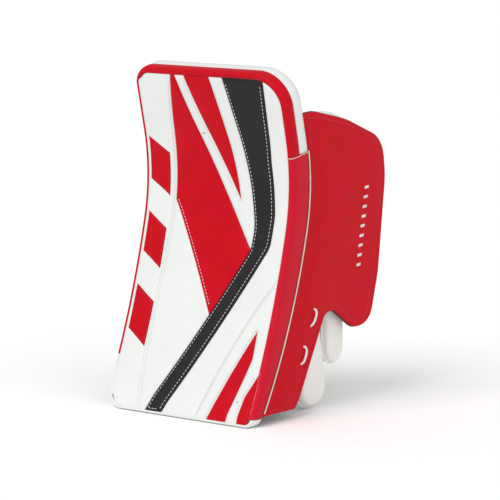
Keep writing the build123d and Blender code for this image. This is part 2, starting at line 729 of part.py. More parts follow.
# ---------------------------------------------------------------- thumb-side guards
def slab(circles, inset, near, far, soften=0.0):
    """The hull of two circles in the side view, moved in by `inset`, between two x planes."""
    with BuildPart() as block:
        with BuildSketch(Plane.YZ.offset(near)):
            for y, z, radius in circles:
                with Locations((y, z)):
                    Circle(radius - inset)
            make_hull()
        extrude(amount=far - near)
        if soften:
            fillet(edges().filter_by(Axis.X, reverse=True), soften)
    return block.part


PLATE_X = sum(INDEX_GUARD_X) / 2 - GUARD_PLATE / 2

with BuildPart() as index_guard:
    add(slab(INDEX_GUARD, 0, *INDEX_GUARD_X, INDEX_EDGE))
    add(slab(INDEX_GUARD, INDEX_PLATE_INSET, PLATE_X, PLATE_X + GUARD_PLATE), mode=Mode.SUBTRACT)
finish(index_guard, "index_guard")

with BuildPart() as index_guard_insert:
    add(slab(INDEX_GUARD, INDEX_PLATE_INSET, PLATE_X, PLATE_X + GUARD_PLATE))
finish(index_guard_insert, "index_guard_insert")

THUMB_TOP = Vector(0, *THUMB_GUARD[0][:2])
THUMB_AXIS = (Vector(0, *THUMB_GUARD[1][:2]) - THUMB_TOP).normalized()
POCKET_WIDTH = THUMB_POCKET_X[1] - THUMB_POCKET_X[0]
POCKET_MIDDLE = Vector(sum(THUMB_POCKET_X) / 2, 0, 0)


def thumb_slot(shrink, start, length):
    """Flat-sided passage for the thumb, measured down the guard from its hinge."""
    with BuildPart() as passage:
        mouth = THUMB_TOP + POCKET_MIDDLE + THUMB_AXIS * start
        with BuildSketch(Plane(origin=mouth, x_dir=(1, 0, 0), z_dir=THUMB_AXIS)):
            RectangleRounded(POCKET_WIDTH - 2 * shrink, THUMB_SPAN - 2 * shrink, THUMB_POCKET_ROUND - shrink)
        extrude(amount=length)
        fillet(edges().group_by(Axis.Z)[0], THUMB_POCKET_END - shrink)
    return passage.part


with BuildPart() as thumb_guard:
    add(slab(THUMB_GUARD, 0, *THUMB_GUARD_X, THUMB_EDGE))
    add(thumb_slot(0, -THUMB_DEPTH, 2 * THUMB_DEPTH), mode=Mode.SUBTRACT)
    add(slab(THUMB_GUARD, THUMB_PLATE_INSET, THUMB_PLATE_X, THUMB_PLATE_X + GUARD_PLATE), mode=Mode.SUBTRACT)
finish(thumb_guard, "thumb_guard")

with BuildPart() as thumb_guard_insert:
    add(slab(THUMB_GUARD, THUMB_PLATE_INSET, THUMB_PLATE_X, THUMB_PLATE_X + GUARD_PLATE))
finish(thumb_guard_insert, "thumb_guard_insert")

with BuildPart() as thumb_stall:
    add(thumb_slot(GAP, -THUMB_MOUTH, THUMB_MOUTH + THUMB_DEPTH - GAP))
    hollow = THUMB_MOUTH + PROUD + THUMB_DEPTH - GAP - STALL_WALL
    add(thumb_slot(GAP + STALL_WALL, -THUMB_MOUTH - PROUD, hollow), mode=Mode.SUBTRACT)
finish(thumb_stall, "thumb_stall")
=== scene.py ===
import math

import bmesh
import bpy
import numpy as np
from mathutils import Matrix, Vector
from mathutils.bvhtree import BVHTree
from mathutils.geometry import delaunay_2d_cdt


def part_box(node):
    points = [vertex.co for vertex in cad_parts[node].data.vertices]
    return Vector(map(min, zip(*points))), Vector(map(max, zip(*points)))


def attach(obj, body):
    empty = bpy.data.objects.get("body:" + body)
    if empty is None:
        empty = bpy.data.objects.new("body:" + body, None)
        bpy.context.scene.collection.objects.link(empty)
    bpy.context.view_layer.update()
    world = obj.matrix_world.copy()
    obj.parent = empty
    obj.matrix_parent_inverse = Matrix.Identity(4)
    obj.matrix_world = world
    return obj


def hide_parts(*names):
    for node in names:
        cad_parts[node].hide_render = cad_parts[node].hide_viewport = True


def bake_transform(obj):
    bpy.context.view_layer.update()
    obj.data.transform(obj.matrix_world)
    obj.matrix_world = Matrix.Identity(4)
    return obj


# Looks of the goalie blocker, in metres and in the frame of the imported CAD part.
# X runs across the board towards the thumb side, Y from the face to the hand, Z up.

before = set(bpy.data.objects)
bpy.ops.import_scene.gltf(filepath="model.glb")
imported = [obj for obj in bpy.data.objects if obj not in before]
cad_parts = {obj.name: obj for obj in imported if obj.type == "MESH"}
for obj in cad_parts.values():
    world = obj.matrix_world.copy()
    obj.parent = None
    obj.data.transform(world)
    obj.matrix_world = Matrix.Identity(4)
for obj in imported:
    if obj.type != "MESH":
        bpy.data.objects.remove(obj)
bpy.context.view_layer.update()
MM = 0.001

# ---------------------------------------------------------------- colours (linear)
RED = (0.520, 0.002, 0.010)
WALL_RED = (0.545, 0.005, 0.020)
WHITE = (0.730, 0.755, 0.735)
WARM_WHITE = (0.800, 0.800, 0.765)
BLACK = (0.010, 0.010, 0.011)
CREAM = (0.760, 0.700, 0.590)
TAN = (0.330, 0.255, 0.175)
DARK_TAN = (0.200, 0.145, 0.095)
NYLON = (0.013, 0.013, 0.015)
THREAD_WHITE = (0.820, 0.820, 0.800)
THREAD_BLACK = (0.020, 0.020, 0.020)
FOAM = (0.110, 0.110, 0.120)
PLASTIC = (0.640, 0.640, 0.620)
STEEL = (0.420, 0.420, 0.430)


# ---------------------------------------------------------------- materials
def node_material(name):
    """An empty node material; returns it with its node-making and linking functions and its shader."""
    material = bpy.data.materials.new(name)
    material.use_nodes = True
    tree = material.node_tree
    return material, tree.nodes.new, tree.links.new, tree.nodes["Principled BSDF"]


def varied(new, link, color, position, scale, spread):
    """Base colour that drifts a little lighter and darker over the surface, and the noise behind it."""
    noise = new("ShaderNodeTexNoise")
    noise.inputs["Scale"].default_value = scale
    noise.inputs["Detail"].default_value = 4
    link(position, noise.inputs["Vector"])
    ramp = new("ShaderNodeValToRGB")
    ramp.color_ramp.elements[0].position = 0.3
    ramp.color_ramp.elements[1].position = 0.7
    ramp.color_ramp.elements[0].color = [c * (1 - spread) for c in color] + [1]
    ramp.color_ramp.elements[1].color = [min(1, c * (1 + spread)) for c in color] + [1]
    link(noise.outputs["Fac"], ramp.inputs["Fac"])
    return ramp.outputs["Color"], noise.outputs["Fac"]


def bumped(new, link, shader, height, strength, distance):
    """Turns a height pattern into bump on the shader."""
    bump = new("ShaderNodeBump")
    bump.inputs["Strength"].default_value = strength
    bump.inputs["Distance"].default_value = distance
    link(height, bump.inputs["Height"])
    link(bump.outputs["Normal"], shader.inputs["Normal"])


def leather(name, color, roughness=0.42, grain=0.25, spread=0.05, shine=0.42):
    """Smooth synthetic leather: fine pebble grain, soft shine and a painted highlight that makes its raised
    edges paler.
    """
    material, new, link, shader = node_material(name)
    position = new("ShaderNodeTexCoord").outputs["Object"]
    base, drift = varied(new, link, color, position, 35, spread)
    # painted highlight: the most raised edges (high pointiness) are mixed up to a tenth of the way towards a
    # paler colour
    surface_info = new("ShaderNodeNewGeometry")
    edge_highlight = new("ShaderNodeMapRange")
    edge_highlight.inputs["From Min"].default_value = 0.53
    edge_highlight.inputs["From Max"].default_value = 0.62
    edge_highlight.inputs["To Max"].default_value = 0.10
    link(surface_info.outputs["Pointiness"], edge_highlight.inputs["Value"])
    mix = new("ShaderNodeMix")
    mix.data_type = "RGBA"
    link(edge_highlight.outputs["Result"], mix.inputs["Factor"])
    link(base, mix.inputs["A"])
    # paler colour of the painted edge highlight
    mix.inputs["B"].default_value = [c * 0.8 + 0.15 for c in color] + [1]
    link(mix.outputs["Result"], shader.inputs["Base Color"])
    pebbles = new("ShaderNodeTexVoronoi")
    pebbles.inputs["Scale"].default_value = 1150
    link(position, pebbles.inputs["Vector"])
    creases = new("ShaderNodeTexNoise")
    creases.inputs["Scale"].default_value = 420
    creases.inputs["Detail"].default_value = 6
    link(position, creases.inputs["Vector"])
    height = new("ShaderNodeMath")
    height.operation = "MULTIPLY_ADD"
    height.inputs[1].default_value = 0.5
    link(pebbles.outputs["Distance"], height.inputs[0])
    link(creases.outputs["Fac"], height.inputs[2])
    bumped(new, link, shader, height.outputs["Value"], grain, 0.0004)
    gloss = new("ShaderNodeMapRange")
    gloss.inputs["To Min"].default_value = roughness - 0.06
    gloss.inputs["To Max"].default_value = roughness + 0.08
    link(drift, gloss.inputs["Value"])
    link(gloss.outputs["Result"], shader.inputs["Roughness"])
    shader.inputs["Specular IOR Level"].default_value = shine
    return material


def woven(name, color, pitch=0.0012, roughness=0.8, depth=0.5, sheen=0.3):
    """Woven or knitted cloth: crossed threads at the given pitch."""
    material, new, link, shader = node_material(name)
    position = new("ShaderNodeTexCoord").outputs["Object"]
    base = varied(new, link, color, position, 60, 0.12)[0]
    threads = []
    for direction in ("X", "Y", "Z"):
        wave = new("ShaderNodeTexWave")
        wave.bands_direction = direction
        wave.inputs["Scale"].default_value = 0.314 / pitch
        wave.inputs["Distortion"].default_value = 0.4
        link(position, wave.inputs["Vector"])
        threads.append(wave.outputs["Fac"])
    total = threads[0]
    for thread in threads[1:]:
        add = new("ShaderNodeMath")
        link(total, add.inputs[0])
        link(thread, add.inputs[1])
        total = add.outputs["Value"]
    darker = new("ShaderNodeMapRange")
    darker.inputs["From Max"].default_value = 3
    darker.inputs["To Min"].default_value = 0.7
    darker.inputs["To Max"].default_value = 1.25
    link(total, darker.inputs["Value"])
    scaled = new("ShaderNodeVectorMath")
    scaled.operation = "SCALE"
    link(base, scaled.inputs[0])
    link(darker.outputs["Result"], scaled.inputs["Scale"])
    link(scaled.outputs["Vector"], shader.inputs["Base Color"])
    bumped(new, link, shader, total, depth, 0.0003)
    shader.inputs["Roughness"].default_value = roughness
    shader.inputs["Sheen Weight"].default_value = sheen
    return material


def moulded(name, color, roughness=0.45, metallic=0.0):
    """Moulded plastic, closed foam or turned metal: fine speckle and faint unevenness."""
    material, new, link, shader = node_material(name)
    position = new("ShaderNodeTexCoord").outputs["Object"]
    base = varied(new, link, color, position, 90, 0.08)[0]
    link(base, shader.inputs["Base Color"])
    speckle = new("ShaderNodeTexNoise")
    speckle.inputs["Scale"].default_value = 1500
    link(position, speckle.inputs["Vector"])
    bumped(new, link, shader, speckle.outputs["Fac"], 0.2, 0.0002)
    shader.inputs["Roughness"].default_value = roughness
    shader.inputs["Metallic"].default_value = metallic
    return material


LOOKS = {
    "red": leather("red_leather", RED, 0.45, shine=0.09),
    "wall_red": leather("wall_red_leather", WALL_RED, 0.42, shine=0.12),
    "white": leather("white_leather", WHITE, 0.45, 0.2, 0.015),
    "warm_white": leather("warm_white_leather", WARM_WHITE, 0.5, 0.25, 0.02),
    "black": leather("black_leather", BLACK, 0.5, 0.35, 0.15, shine=0.25),
    "tan": leather("palm_leather", TAN, 0.75, 0.6, 0.12),
    "dark_tan": leather("patch_leather", DARK_TAN, 0.8, 0.6, 0.12),
    "cord": woven("cream_cord", CREAM, 0.0007),
    "lace": woven("lace_cord", THREAD_WHITE, 0.0007),
    "nylon": woven("black_nylon", NYLON, 0.0011),
    "webbing": woven("black_webbing", NYLON, 0.0022, depth=0.8),
    "hook": woven("hook_tape", NYLON, 0.0009, 0.95, 1.0),
    "thread_white": woven("white_thread", THREAD_WHITE, 0.0005),
    "thread_black": woven("black_thread", THREAD_BLACK, 0.0005),
    "thread_red": woven("red_thread", RED, 0.0005),
    "foam": moulded("grey_foam", FOAM, 0.9),
    "plastic": moulded("white_plastic", PLASTIC, 0.4),
    "steel": moulded("zinc_steel", STEEL, 0.35, 1.0),
}


# ---------------------------------------------------------------- shape of the board
WIDTH = 203 * MM
LENGTH = 381 * MM
TOE_Y = -8 * MM
LOWER_RADIUS, UPPER_RADIUS = 1010 * MM, 220 * MM
TILT = math.radians(25)
LOWER_TURN, UPPER_TURN = math.radians(12), math.radians(26)
LOWER_RUN, UPPER_RUN = LOWER_RADIUS * LOWER_TURN, UPPER_RADIUS * UPPER_TURN
SQUARE_UP = 60 * MM  # distance above the toe over which the edges turn square to the face


def face_side(s):
    """(y, z, tilt) of the face at distance s up from the toe."""
    s = np.asarray(s, float)
    lower = TILT - np.clip(s, 0, LOWER_RUN) / LOWER_RADIUS
    upper = lower - np.clip(s - LOWER_RUN, 0, UPPER_RUN) / UPPER_RADIUS
    bend = TILT - LOWER_TURN
    below, above = np.minimum(s, 0), np.maximum(s - LOWER_RUN - UPPER_RUN, 0)
    on_upper = s > LOWER_RUN
    y = TOE_Y + LOWER_RADIUS * (np.cos(lower) - math.cos(TILT)) + below * math.sin(TILT)
    y = y + np.where(on_upper, UPPER_RADIUS * (np.cos(upper) - math.cos(bend)), 0) + above * np.sin(upper)
    z = LOWER_RADIUS * (math.sin(TILT) - np.sin(lower)) + below * math.cos(TILT)
    z = z + np.where(on_upper, UPPER_RADIUS * (math.sin(bend) - np.sin(upper)), 0) + above * np.cos(upper)
    return y, z, upper


S_TABLE = np.linspace(-20 * MM, LENGTH + 20 * MM, 900)
Z_TABLE = face_side(S_TABLE)[1]


def s_of_z(z):
    return np.interp(z, Z_TABLE, S_TABLE)


def board_point(x, s, depth):
    """Points `depth` behind the face (negative stands proud of it)."""
    y, z, tilt = face_side(s)
    share = np.clip(s / SQUARE_UP, 0, 1)
    lean = np.where(depth > 0, tilt * share * share * (3 - 2 * share), tilt)
    return np.stack(np.broadcast_arrays(x, y + depth * np.cos(lean), z - depth * np.sin(lean)), -1)


def cad_tree(*nodes):
    """A ray-casting tree over CAD nodes."""
    corners, faces = [], []
    for name in nodes:
        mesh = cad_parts[name].data
        base = len(corners)
        corners += [v.co.copy() for v in mesh.vertices]
        faces += [[base + i for i in p.vertices] for p in mesh.polygons]
    return BVHTree.FromPolygons(corners, faces)


def measure_thickness():
    """Depth from face to back along the edges, from the CAD back cover, as a table over s."""
    tree = cad_tree("back_cover")
    stations = np.linspace(4 * MM, LENGTH - 4 * MM, 60)
    depths = []
    for s in stations:
        front, behind = board_point(0.0, s, 0.0), board_point(0.0, s, 0.1)
        hit = tree.ray_cast(Vector(behind), Vector(front - behind))[0]
        depths.append((hit - Vector(front)).length)
    return stations, np.array(depths)


THICK_S, THICK_DEPTH = measure_thickness()


def thickness(s):
    return np.interp(s, THICK_S, THICK_DEPTH)


# ---------------------------------------------------------------- mesh helpers
def make_object(name, corners, faces, look, smooth=True):
    mesh = bpy.data.meshes.new(name)
    mesh.from_pydata([tuple(map(float, c)) for c in corners], [], [list(map(int, f)) for f in faces])
    mesh.validate()
    bm = bmesh.new()
    bm.from_mesh(mesh)
    bmesh.ops.recalc_face_normals(bm, faces=bm.faces)
    bm.to_mesh(mesh)
    bm.free()
    mesh.shade_smooth() if smooth else mesh.shade_flat()
    obj = bpy.data.objects.new(name, mesh)
    bpy.context.scene.collection.objects.link(obj)
    obj.data.materials.append(LOOKS[look])
    return obj


def fit(piece, node, body="board"):
    """Rides a piece on a body, in place of a CAD node."""
    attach(piece, body)
    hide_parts(node)


def subdivide(obj, levels=1):
    modifier = obj.modifiers.new("subdivision", "SUBSURF")
    modifier.levels = modifier.render_levels = levels
    return obj


def grid_faces(rows, columns, close_rows=False, close_columns=False):
    """Quads of a grid of points stored row by row."""
    faces = []
    for r in range(rows if close_rows else rows - 1):
        for c in range(columns if close_columns else columns - 1):
            r2, c2 = (r + 1) % rows, (c + 1) % columns
            faces.append((r * columns + c, r2 * columns + c, r2 * columns + c2, r * columns + c2))
    return faces


def loft(name, rings, look, capped=True, closed=False):
    """Skin over rings of points: each ring is a closed loop."""
    rings = np.asarray(rings, float)
    rows, columns = rings.shape[:2]
    faces = grid_faces(rows, columns, closed, True)
    if capped and not closed:
        faces.append(list(range(columns))[::-1])
        faces.append([(rows - 1) * columns + c for c in range(columns)])
    return make_object(name, rings.reshape(-1, 3), faces, look)


def tube(name, path, radius, look, sides=8, closed=False):
    """Round cord along a path of points."""
    path = np.asarray(path, float)
    if closed:
        ahead = np.roll(path, -1, 0) - np.roll(path, 1, 0)
    else:
        ahead = np.gradient(path, axis=0)
    ahead /= np.linalg.norm(ahead, axis=1)[:, None]
    normal = np.cross(ahead[0], (0.31, 0.17, 0.93))
    rings = []
    angles = np.linspace(0, 2 * math.pi, sides, endpoint=False)
    for point, direction in zip(path, ahead):
        normal = normal - direction * (normal @ direction)
        normal /= np.linalg.norm(normal)
        other = np.cross(direction, normal)
        rings.append([point + radius * (math.cos(a) * normal + math.sin(a) * other) for a in angles])
    return loft(name, rings, look, capped=not closed, closed=closed)


def resample(points, step, closed=False):
    """Evenly spaced points along a polyline."""
    points = np.asarray(points, float)
    if closed:
        points = np.vstack([points, points[:1]])
    lengths = np.linalg.norm(np.diff(points, axis=0), axis=1)
    run = np.concatenate([[0], np.cumsum(lengths)])
    count = max(2, int(round(run[-1] / step)) + 1)
    at = np.linspace(0, run[-1], count)
    even = np.stack([np.interp(at, run, points[:, i]) for i in range(points.shape[1])], -1)
    return even[:-1] if closed else even


def keep_corners(loop, step, sharp=28):
    """Evenly spaced points round a closed outline, with its sharp corners kept."""
    ahead = np.roll(loop, -1, 0) - loop
    heading = np.degrees(np.arctan2(ahead[:, 1], ahead[:, 0]))
    turn = np.abs((heading - np.roll(heading, 1) + 180) % 360 - 180)
    corners = [int(i) for i in np.where(turn > sharp)[0]]
    if not corners:
        return resample(loop, step, closed=True)
    runs = []
    for a, b in zip(corners, corners[1:] + [corners[0] + len(loop)]):
        run = loop[[i % len(loop) for i in range(a, b + 1)]]
        runs.append(resample(run, step)[:-1])
    return np.vstack(runs)


def front_outline(node, axis, side):
    """Outline of a CAD node seen along an axis, as 2D points: axis 1 gives (x, z), axis 0 gives (y, z)."""
    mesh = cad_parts[node].data
    key = {}
    number = [key.setdefault(tuple(round(c, 6) for c in v.co), len(key)) for v in mesh.vertices]
    place = [None] * len(key)
    for corner, index in key.items():
        place[index] = corner
    edges = {}
    for polygon in mesh.polygons:
        if polygon.normal[axis] * side < 0.5:
            continue
        ring = [number[i] for i in polygon.vertices]
        for a, b in zip(ring, ring[1:] + ring[:1]):
            edges[(a, b)] = True
    rim = {a: b for a, b in edges if (b, a) not in edges}
    loops = []
    while rim:
        start = next(iter(rim))
        loop, here = [start], rim.pop(start)
        while here != start and here in rim:
            loop.append(here)
            here = rim.pop(here)
        loops.append(loop)
    keep = (0, 2) if axis == 1 else (1, 2)
    flat = [np.array([[place[i][k] for k in keep] for i in loop]) for loop in loops]
    return max(flat, key=lambda loop: abs(area(loop)))


def area(loop):
    x, y = loop[:, 0], loop[:, 1]
    return 0.5 * np.sum(x * np.roll(y, -1) - y * np.roll(x, -1))


def inside(points, loop):
    """Which points lie inside a closed outline."""
    x, y = points[:, 0][:, None], points[:, 1][:, None]
    x1, y1 = loop[:, 0], loop[:, 1]
    x2, y2 = np.roll(x1, -1), np.roll(y1, -1)
    rise = np.where(y2 == y1, 1e-12, y2 - y1)
    crossed = ((y1 > y) != (y2 > y)) & (x < (x2 - x1) * (y - y1) / rise + x1)
    return crossed.sum(1) % 2 == 1


def edge_distance(points, loop):
    """Distance of each point from a closed outline."""
    nearest = np.full(len(points), 1e9)
    for a, b in zip(loop, np.roll(loop, -1, 0)):
        run = b - a
        t = np.clip(((points - a) @ run) / max(run @ run, 1e-18), 0, 1)
        nearest = np.minimum(nearest, np.linalg.norm(points - a - t[:, None] * run, axis=1))
    return nearest


def inward(loop, distance):
    """The outline moved inwards, with the points that fold over dropped."""
    sign = 1 if area(loop) > 0 else -1
    run = np.roll(loop, -1, 0) - np.roll(loop, 1, 0)
    run /= np.maximum(np.linalg.norm(run, axis=1), 1e-12)[:, None]
    moved = loop + distance * sign * np.stack([-run[:, 1], run[:, 0]], -1)
    keep = inside(moved, loop) & (edge_distance(moved, loop) > 0.93 * distance)
    return moved, keep


def fill(loop, rows, step):
    """Triangles that fill an outline, with rows of points along its edge and a grid inside."""
    points = [loop]
    for distance in rows:
        moved, keep = inward(loop, distance)
        points.append(moved[keep])
    low, high = loop.min(0), loop.max(0)
    xs, ys = np.arange(low[0], high[0], step), np.arange(low[1], high[1], step)
    grid = np.stack(np.meshgrid(xs, ys), -1).reshape(-1, 2)
    grid = grid[inside(grid, loop)]
    grid = grid[edge_distance(grid, loop) > rows[-1] + 0.6 * step]
    points = np.vstack(points + [grid])
    rim = [(i, (i + 1) % len(loop)) for i in range(len(loop))]
    flat, _, faces, *_ = delaunay_2d_cdt([Vector(p) for p in points], rim, [], 1, 1e-7)
    return np.array([tuple(p) for p in flat]), faces


def pillow(name, loop, top, bottom, look, rows=(0.5, 1.3, 3.0), step=5.0, spacing=2.2):
    """A closed panel: top(points, edge distance) and bottom(points, edge distance) give its two surfaces."""
    loop = keep_corners(loop, spacing * MM)
    flat, faces = fill(loop, [r * MM for r in rows], step * MM)
    distance = edge_distance(flat, loop)
    upper, lower = top(flat, distance), bottom(flat, distance)
    count = len(flat)
    skin = [tuple(f) for f in faces] + [tuple(count + i for i in f[::-1]) for f in faces]
    seen = {}
    for f in faces:
        for a, b in zip(f, list(f[1:]) + [f[0]]):
            seen[(a, b)] = True
    for a, b in seen:
        if (b, a) not in seen:
            skin.append((b, a, count + a, count + b))
    return make_object(name, np.vstack([upper, lower]), skin, look)


def join(name, objects):
    """Joins several meshes of one material into one object."""
    bm = bmesh.new()
    for obj in objects:
        bm.from_mesh(obj.data)
    mesh = bpy.data.meshes.new(name)
    bm.to_mesh(mesh)
    bm.free()
    mesh.materials.append(objects[0].data.materials[0])
    mesh.shade_smooth()
    joined = bpy.data.objects.new(name, mesh)
    bpy.context.scene.collection.objects.link(joined)
    for obj in objects:
        bpy.data.objects.remove(obj)
    return joined


def stitches(name, path, surface, look, pitch=4.0, length=2.5, radius=0.36, closed=False):
    """A row of separate stitches along a 2D path; surface(points) gives their place in space."""
    dense = surface(resample(path, 0.8 * MM, closed))
    run = np.concatenate([[0], np.cumsum(np.linalg.norm(np.diff(dense, axis=0), axis=1))])
    corners, faces = [], []
    angles = np.linspace(0, 2 * math.pi, 6, endpoint=False)
    for start in np.arange(0.8 * MM, run[-1] - length * MM, pitch * MM):
        along = start + np.array([0.0, 0.15, 0.5, 0.85, 1.0]) * length * MM
        middle = np.stack([np.interp(along, run, dense[:, i]) for i in range(3)], -1)
        ahead = middle[-1] - middle[0]
        ahead /= np.linalg.norm(ahead)
        side = np.cross(ahead, (0.2, -0.9, 0.35))
        side /= np.linalg.norm(side)
        other = np.cross(ahead, side)
        base = len(corners)
        for centre, swell in zip(middle, (0.35, 0.85, 1.0, 0.85, 0.35)):
            ring = [centre + radius * MM * swell * (math.cos(a) * side + math.sin(a) * other) for a in angles]
            corners += ring
        faces += [tuple(base + i for i in f) for f in grid_faces(5, 6, False, True)]
        faces.append(tuple(base + i for i in range(6))[::-1])
        faces.append(tuple(base + 24 + i for i in range(6)))
    return make_object(name, corners, faces, look)


# ---------------------------------------------------------------- face panels
SEAM_DIP, PUFF = 0.9 * MM, 0.55 * MM


def face_surface(points, lift=0.0):
    return board_point(points[:, 0], points[:, 1], np.full(len(points), -lift))


def face_top(points, distance):
    depth = SEAM_DIP * np.exp(-distance / (0.8 * MM)) - PUFF * (1 - np.exp(-distance / (5 * MM)))
    return board_point(points[:, 0], points[:, 1], depth)


def face_bottom(points, distance):
    return board_point(points[:, 0], points[:, 1], np.full(len(points), 1.6 * MM))


PANELS = {
    "face_outer_column": "white",
    "face_field": "red",
    "face_lower_panel": "white",
    "face_rays": "white",
    "face_wedge": "red",
    "face_stripe": "black",
    "face_inner_column": "white",
    "face_toe_panel": "white",
    "face_toe_ray": "red",
    "face_toe_corner": "red",
}


def panel_loop(node):
    """Outline of a face panel in (x, s)."""
    loop = front_outline(node, 1, -1)
    outer = loop[:, 0] < -WIDTH / 2 + 9 * MM
    x = loop[:, 0] - np.where(outer, 3.6 * MM, 0)
    return np.stack([x, s_of_z(loop[:, 1])], -1)


def build_panels():
    for node, look in PANELS.items():
        panel = pillow(node + "_skin", panel_loop(node), face_top, face_bottom, look)
        fit(panel, node)


# ---------------------------------------------------------------- edges of the board
CORNERS = {"thumb_top": 38 * MM, "outer_top": 20 * MM, "outer_toe": 26 * MM, "thumb_toe": 9 * MM}
QUARTER = math.pi / 2


def outline_legs():
    """(kind, length, origin, heading, an arc's radius) of each leg, from the thumb-side toe up and round."""
    top, far_top, far_toe, toe = CORNERS.values()
    half = WIDTH / 2
    return (
        ("line", LENGTH - toe - top, (half, toe), (0, 1)),
        ("arc", top * QUARTER, (half - top, LENGTH - top), 0.0, top),
        ("line", WIDTH - top - far_top, (half - top, LENGTH), (-1, 0)),
        ("arc", far_top * QUARTER, (far_top - half, LENGTH - far_top), QUARTER, far_top),
        ("line", LENGTH - far_top - far_toe, (-half, LENGTH - far_top), (0, -1)),
        ("arc", far_toe * QUARTER, (far_toe - half, far_toe), 2 * QUARTER, far_toe),
        ("line", WIDTH - far_toe - toe, (far_toe - half, 0), (1, 0)),
        ("arc", toe * QUARTER, (half - toe, toe), 3 * QUARTER, toe),
    )


LEGS = outline_legs()
LEG_STARTS = np.concatenate([[0], np.cumsum([leg[1] for leg in LEGS])])
ROUND = LEG_STARTS[-1]


def outline_at(u, inset):
    """(x, s) of the outline at distance u along it, moved in by inset."""
    u = u % ROUND
    index = int(np.searchsorted(LEG_STARTS, u, "right")) - 1
    index = min(index, len(LEGS) - 1)
    kind, _, origin, heading = LEGS[index][:4]
    along = u - LEG_STARTS[index]
    if kind == "line":
        x, s = origin[0] + heading[0] * along, origin[1] + heading[1] * along
        return x - heading[1] * inset, s + heading[0] * inset
    radius = LEGS[index][4]
    angle = heading + along / radius
    reach = max(radius - inset, 0.3 * MM)
    shift = inset + reach - radius
    middle = heading + QUARTER / 2
    back = shift * math.sqrt(2)
    cx, cs = origin[0] - back * math.cos(middle), origin[1] - back * math.sin(middle)
    return cx + reach * math.cos(angle), cs + reach * math.sin(angle)


OUTER_NARROWING = 0.5  # of the binding's width on the face


def edge_band(name, start, end, section, look, slant=(0.0, 0.0), step=4.0):
    """A closed band round part of the outline. section(s) gives (inset, depth) pairs round its cross-section;
    slant shifts the start and the end along the outline in proportion to depth. On the outer side less of the
    band shows on the face."""
    count = int((end - start) / (step * MM)) + 2
    rings = []
    for k in range(count):
        t = k / (count - 1)
        u_here = start + (end - start) * t
        s_here = outline_at(u_here, 0)[1]
        past_top = (u_here - LEG_STARTS[3]) / (LEG_STARTS[4] - LEG_STARTS[3])
        narrow = 1 - OUTER_NARROWING * np.clip(past_top, 0, 1)
        ring = []
        for inset, depth in section(s_here):
            lean = depth * ((1 - t) * slant[0] + t * slant[1])
            x, s = outline_at(u_here + lean, inset * narrow)
            ring.append(board_point(x, s, depth))
        rings.append(ring)
    return loft(name, rings, look)


# (inset from the outline, depth behind the face), mm
FACE_RIM = [(7.6, 0.9), (7.0, 0.5), (6.3, -0.1), (5.0, -0.45)]
FACE_RIM += [(3.6, -0.25), (2.2, 0.5), (1.1, 1.7), (0.4, 3.4)]


def binding_section(s):
    """Rounded binding: from the face panels, over the edge, to its back seam."""
    side = [(0.0, 5.6), (-0.2, 8.0), (-0.1, 10.6), (0.2, 12.1), (0.9, 12.9), (1.8, 13.2)]
    inner = [(2.2, 12.4), (2.2, 6.0), (3.4, 3.2), (6.0, 2.0), (7.8, 1.8)]
    return [(i * MM, d * MM) for i, d in FACE_RIM + side + inner]


def gusset_section(s):
    """White strip from the binding to the back of the board."""
    deep = thickness(s) / MM
    middle = (deep + 13) / 2
    side = [(1.6, 12.8), (0.9, 13.3), (0.3, 14.2), (0.0, middle), (0.2, deep - 1.8)]
    inner = [(0.9, deep - 0.6), (2.2, deep + 0.1), (3.2, deep - 0.4), (2.4, middle), (2.4, 13.2)]
    return [(i * MM, d * MM) for i, d in side + inner]


def wall_section(s):
    """One-piece wall on the thumb side: face binding and side in one skin."""
    deep = thickness(s) / MM
    side = [(0.0, 5.6), (-0.2, 9.0), (-0.2, (deep + 9) / 2), (0.0, deep - 2.5), (0.6, deep - 0.8)]
    inner = [(2.2, deep + 0.1), (3.2, deep - 0.4), (2.4, 6.0), (3.4, 3.2), (6.0, 2.0), (7.8, 1.8)]
    return [(i * MM, d * MM) for i, d in FACE_RIM + side + inner]


SEAM_LINE = (264.5, 0.209)  # height of the slanted seam where y is 0, mm, and its rise per unit of y


def seam_leg(depth):
    """Distance along the outline at which the slanted seam crosses this depth."""
    s = np.linspace(240 * MM, 330 * MM, 900)
    points = board_point(WIDTH / 2, s, depth)
    miss = points[:, 2] - SEAM_LINE[0] * MM - SEAM_LINE[1] * points[:, 1]
    return float(s[np.argmin(np.abs(miss))]) - CORNERS["thumb_toe"]


SEAM_U = seam_leg(0.0)
SEAM_SLANT = (seam_leg(34 * MM) - SEAM_U) / (34 * MM)


def build_edges():
    toe_start, toe_end = LEG_STARTS[5] - 34 * MM, ROUND + 0.5 * MM
    binding = edge_band("edge_binding_skin", SEAM_U, toe_start, binding_section, "red", (SEAM_SLANT, 0))
    gusset = edge_band("edge_gusset_skin", SEAM_U, toe_start, gusset_section, "white", (SEAM_SLANT, 0))
    wall = edge_band("inner_sidewall_skin", 0.5 * MM, SEAM_U, wall_section, "wall_red", (0, SEAM_SLANT))
    toe = edge_band("toe_gusset_skin", toe_start, toe_end, wall_section, "white", step=2.5)
    names = ("edge_binding", "edge_gusset", "inner_sidewall", "toe_gusset")
    for piece, node in zip((binding, gusset, wall, toe), names):
        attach(piece, "board")
        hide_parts(node)


# ---------------------------------------------------------------- stitching and trim on the face
FACE_LIFT = PUFF + 0.1 * MM


def on_face(points):
    return face_surface(points, FACE_LIFT)


def runs_of(points, wanted):
    """The consecutive stretches of a closed path where wanted is true."""
    if wanted.all():
        return [points]
    first = int(np.argmin(wanted))
    points, wanted = np.roll(points, -first, 0), np.roll(wanted, -first)
    runs, current = [], []
    for point, want in zip(points, wanted):
        if want:
            current.append(point)
        elif current:
            runs.append(np.array(current))
            current = []
    if current:
        runs.append(np.array(current))
    return [run for run in runs if len(run) > 8]


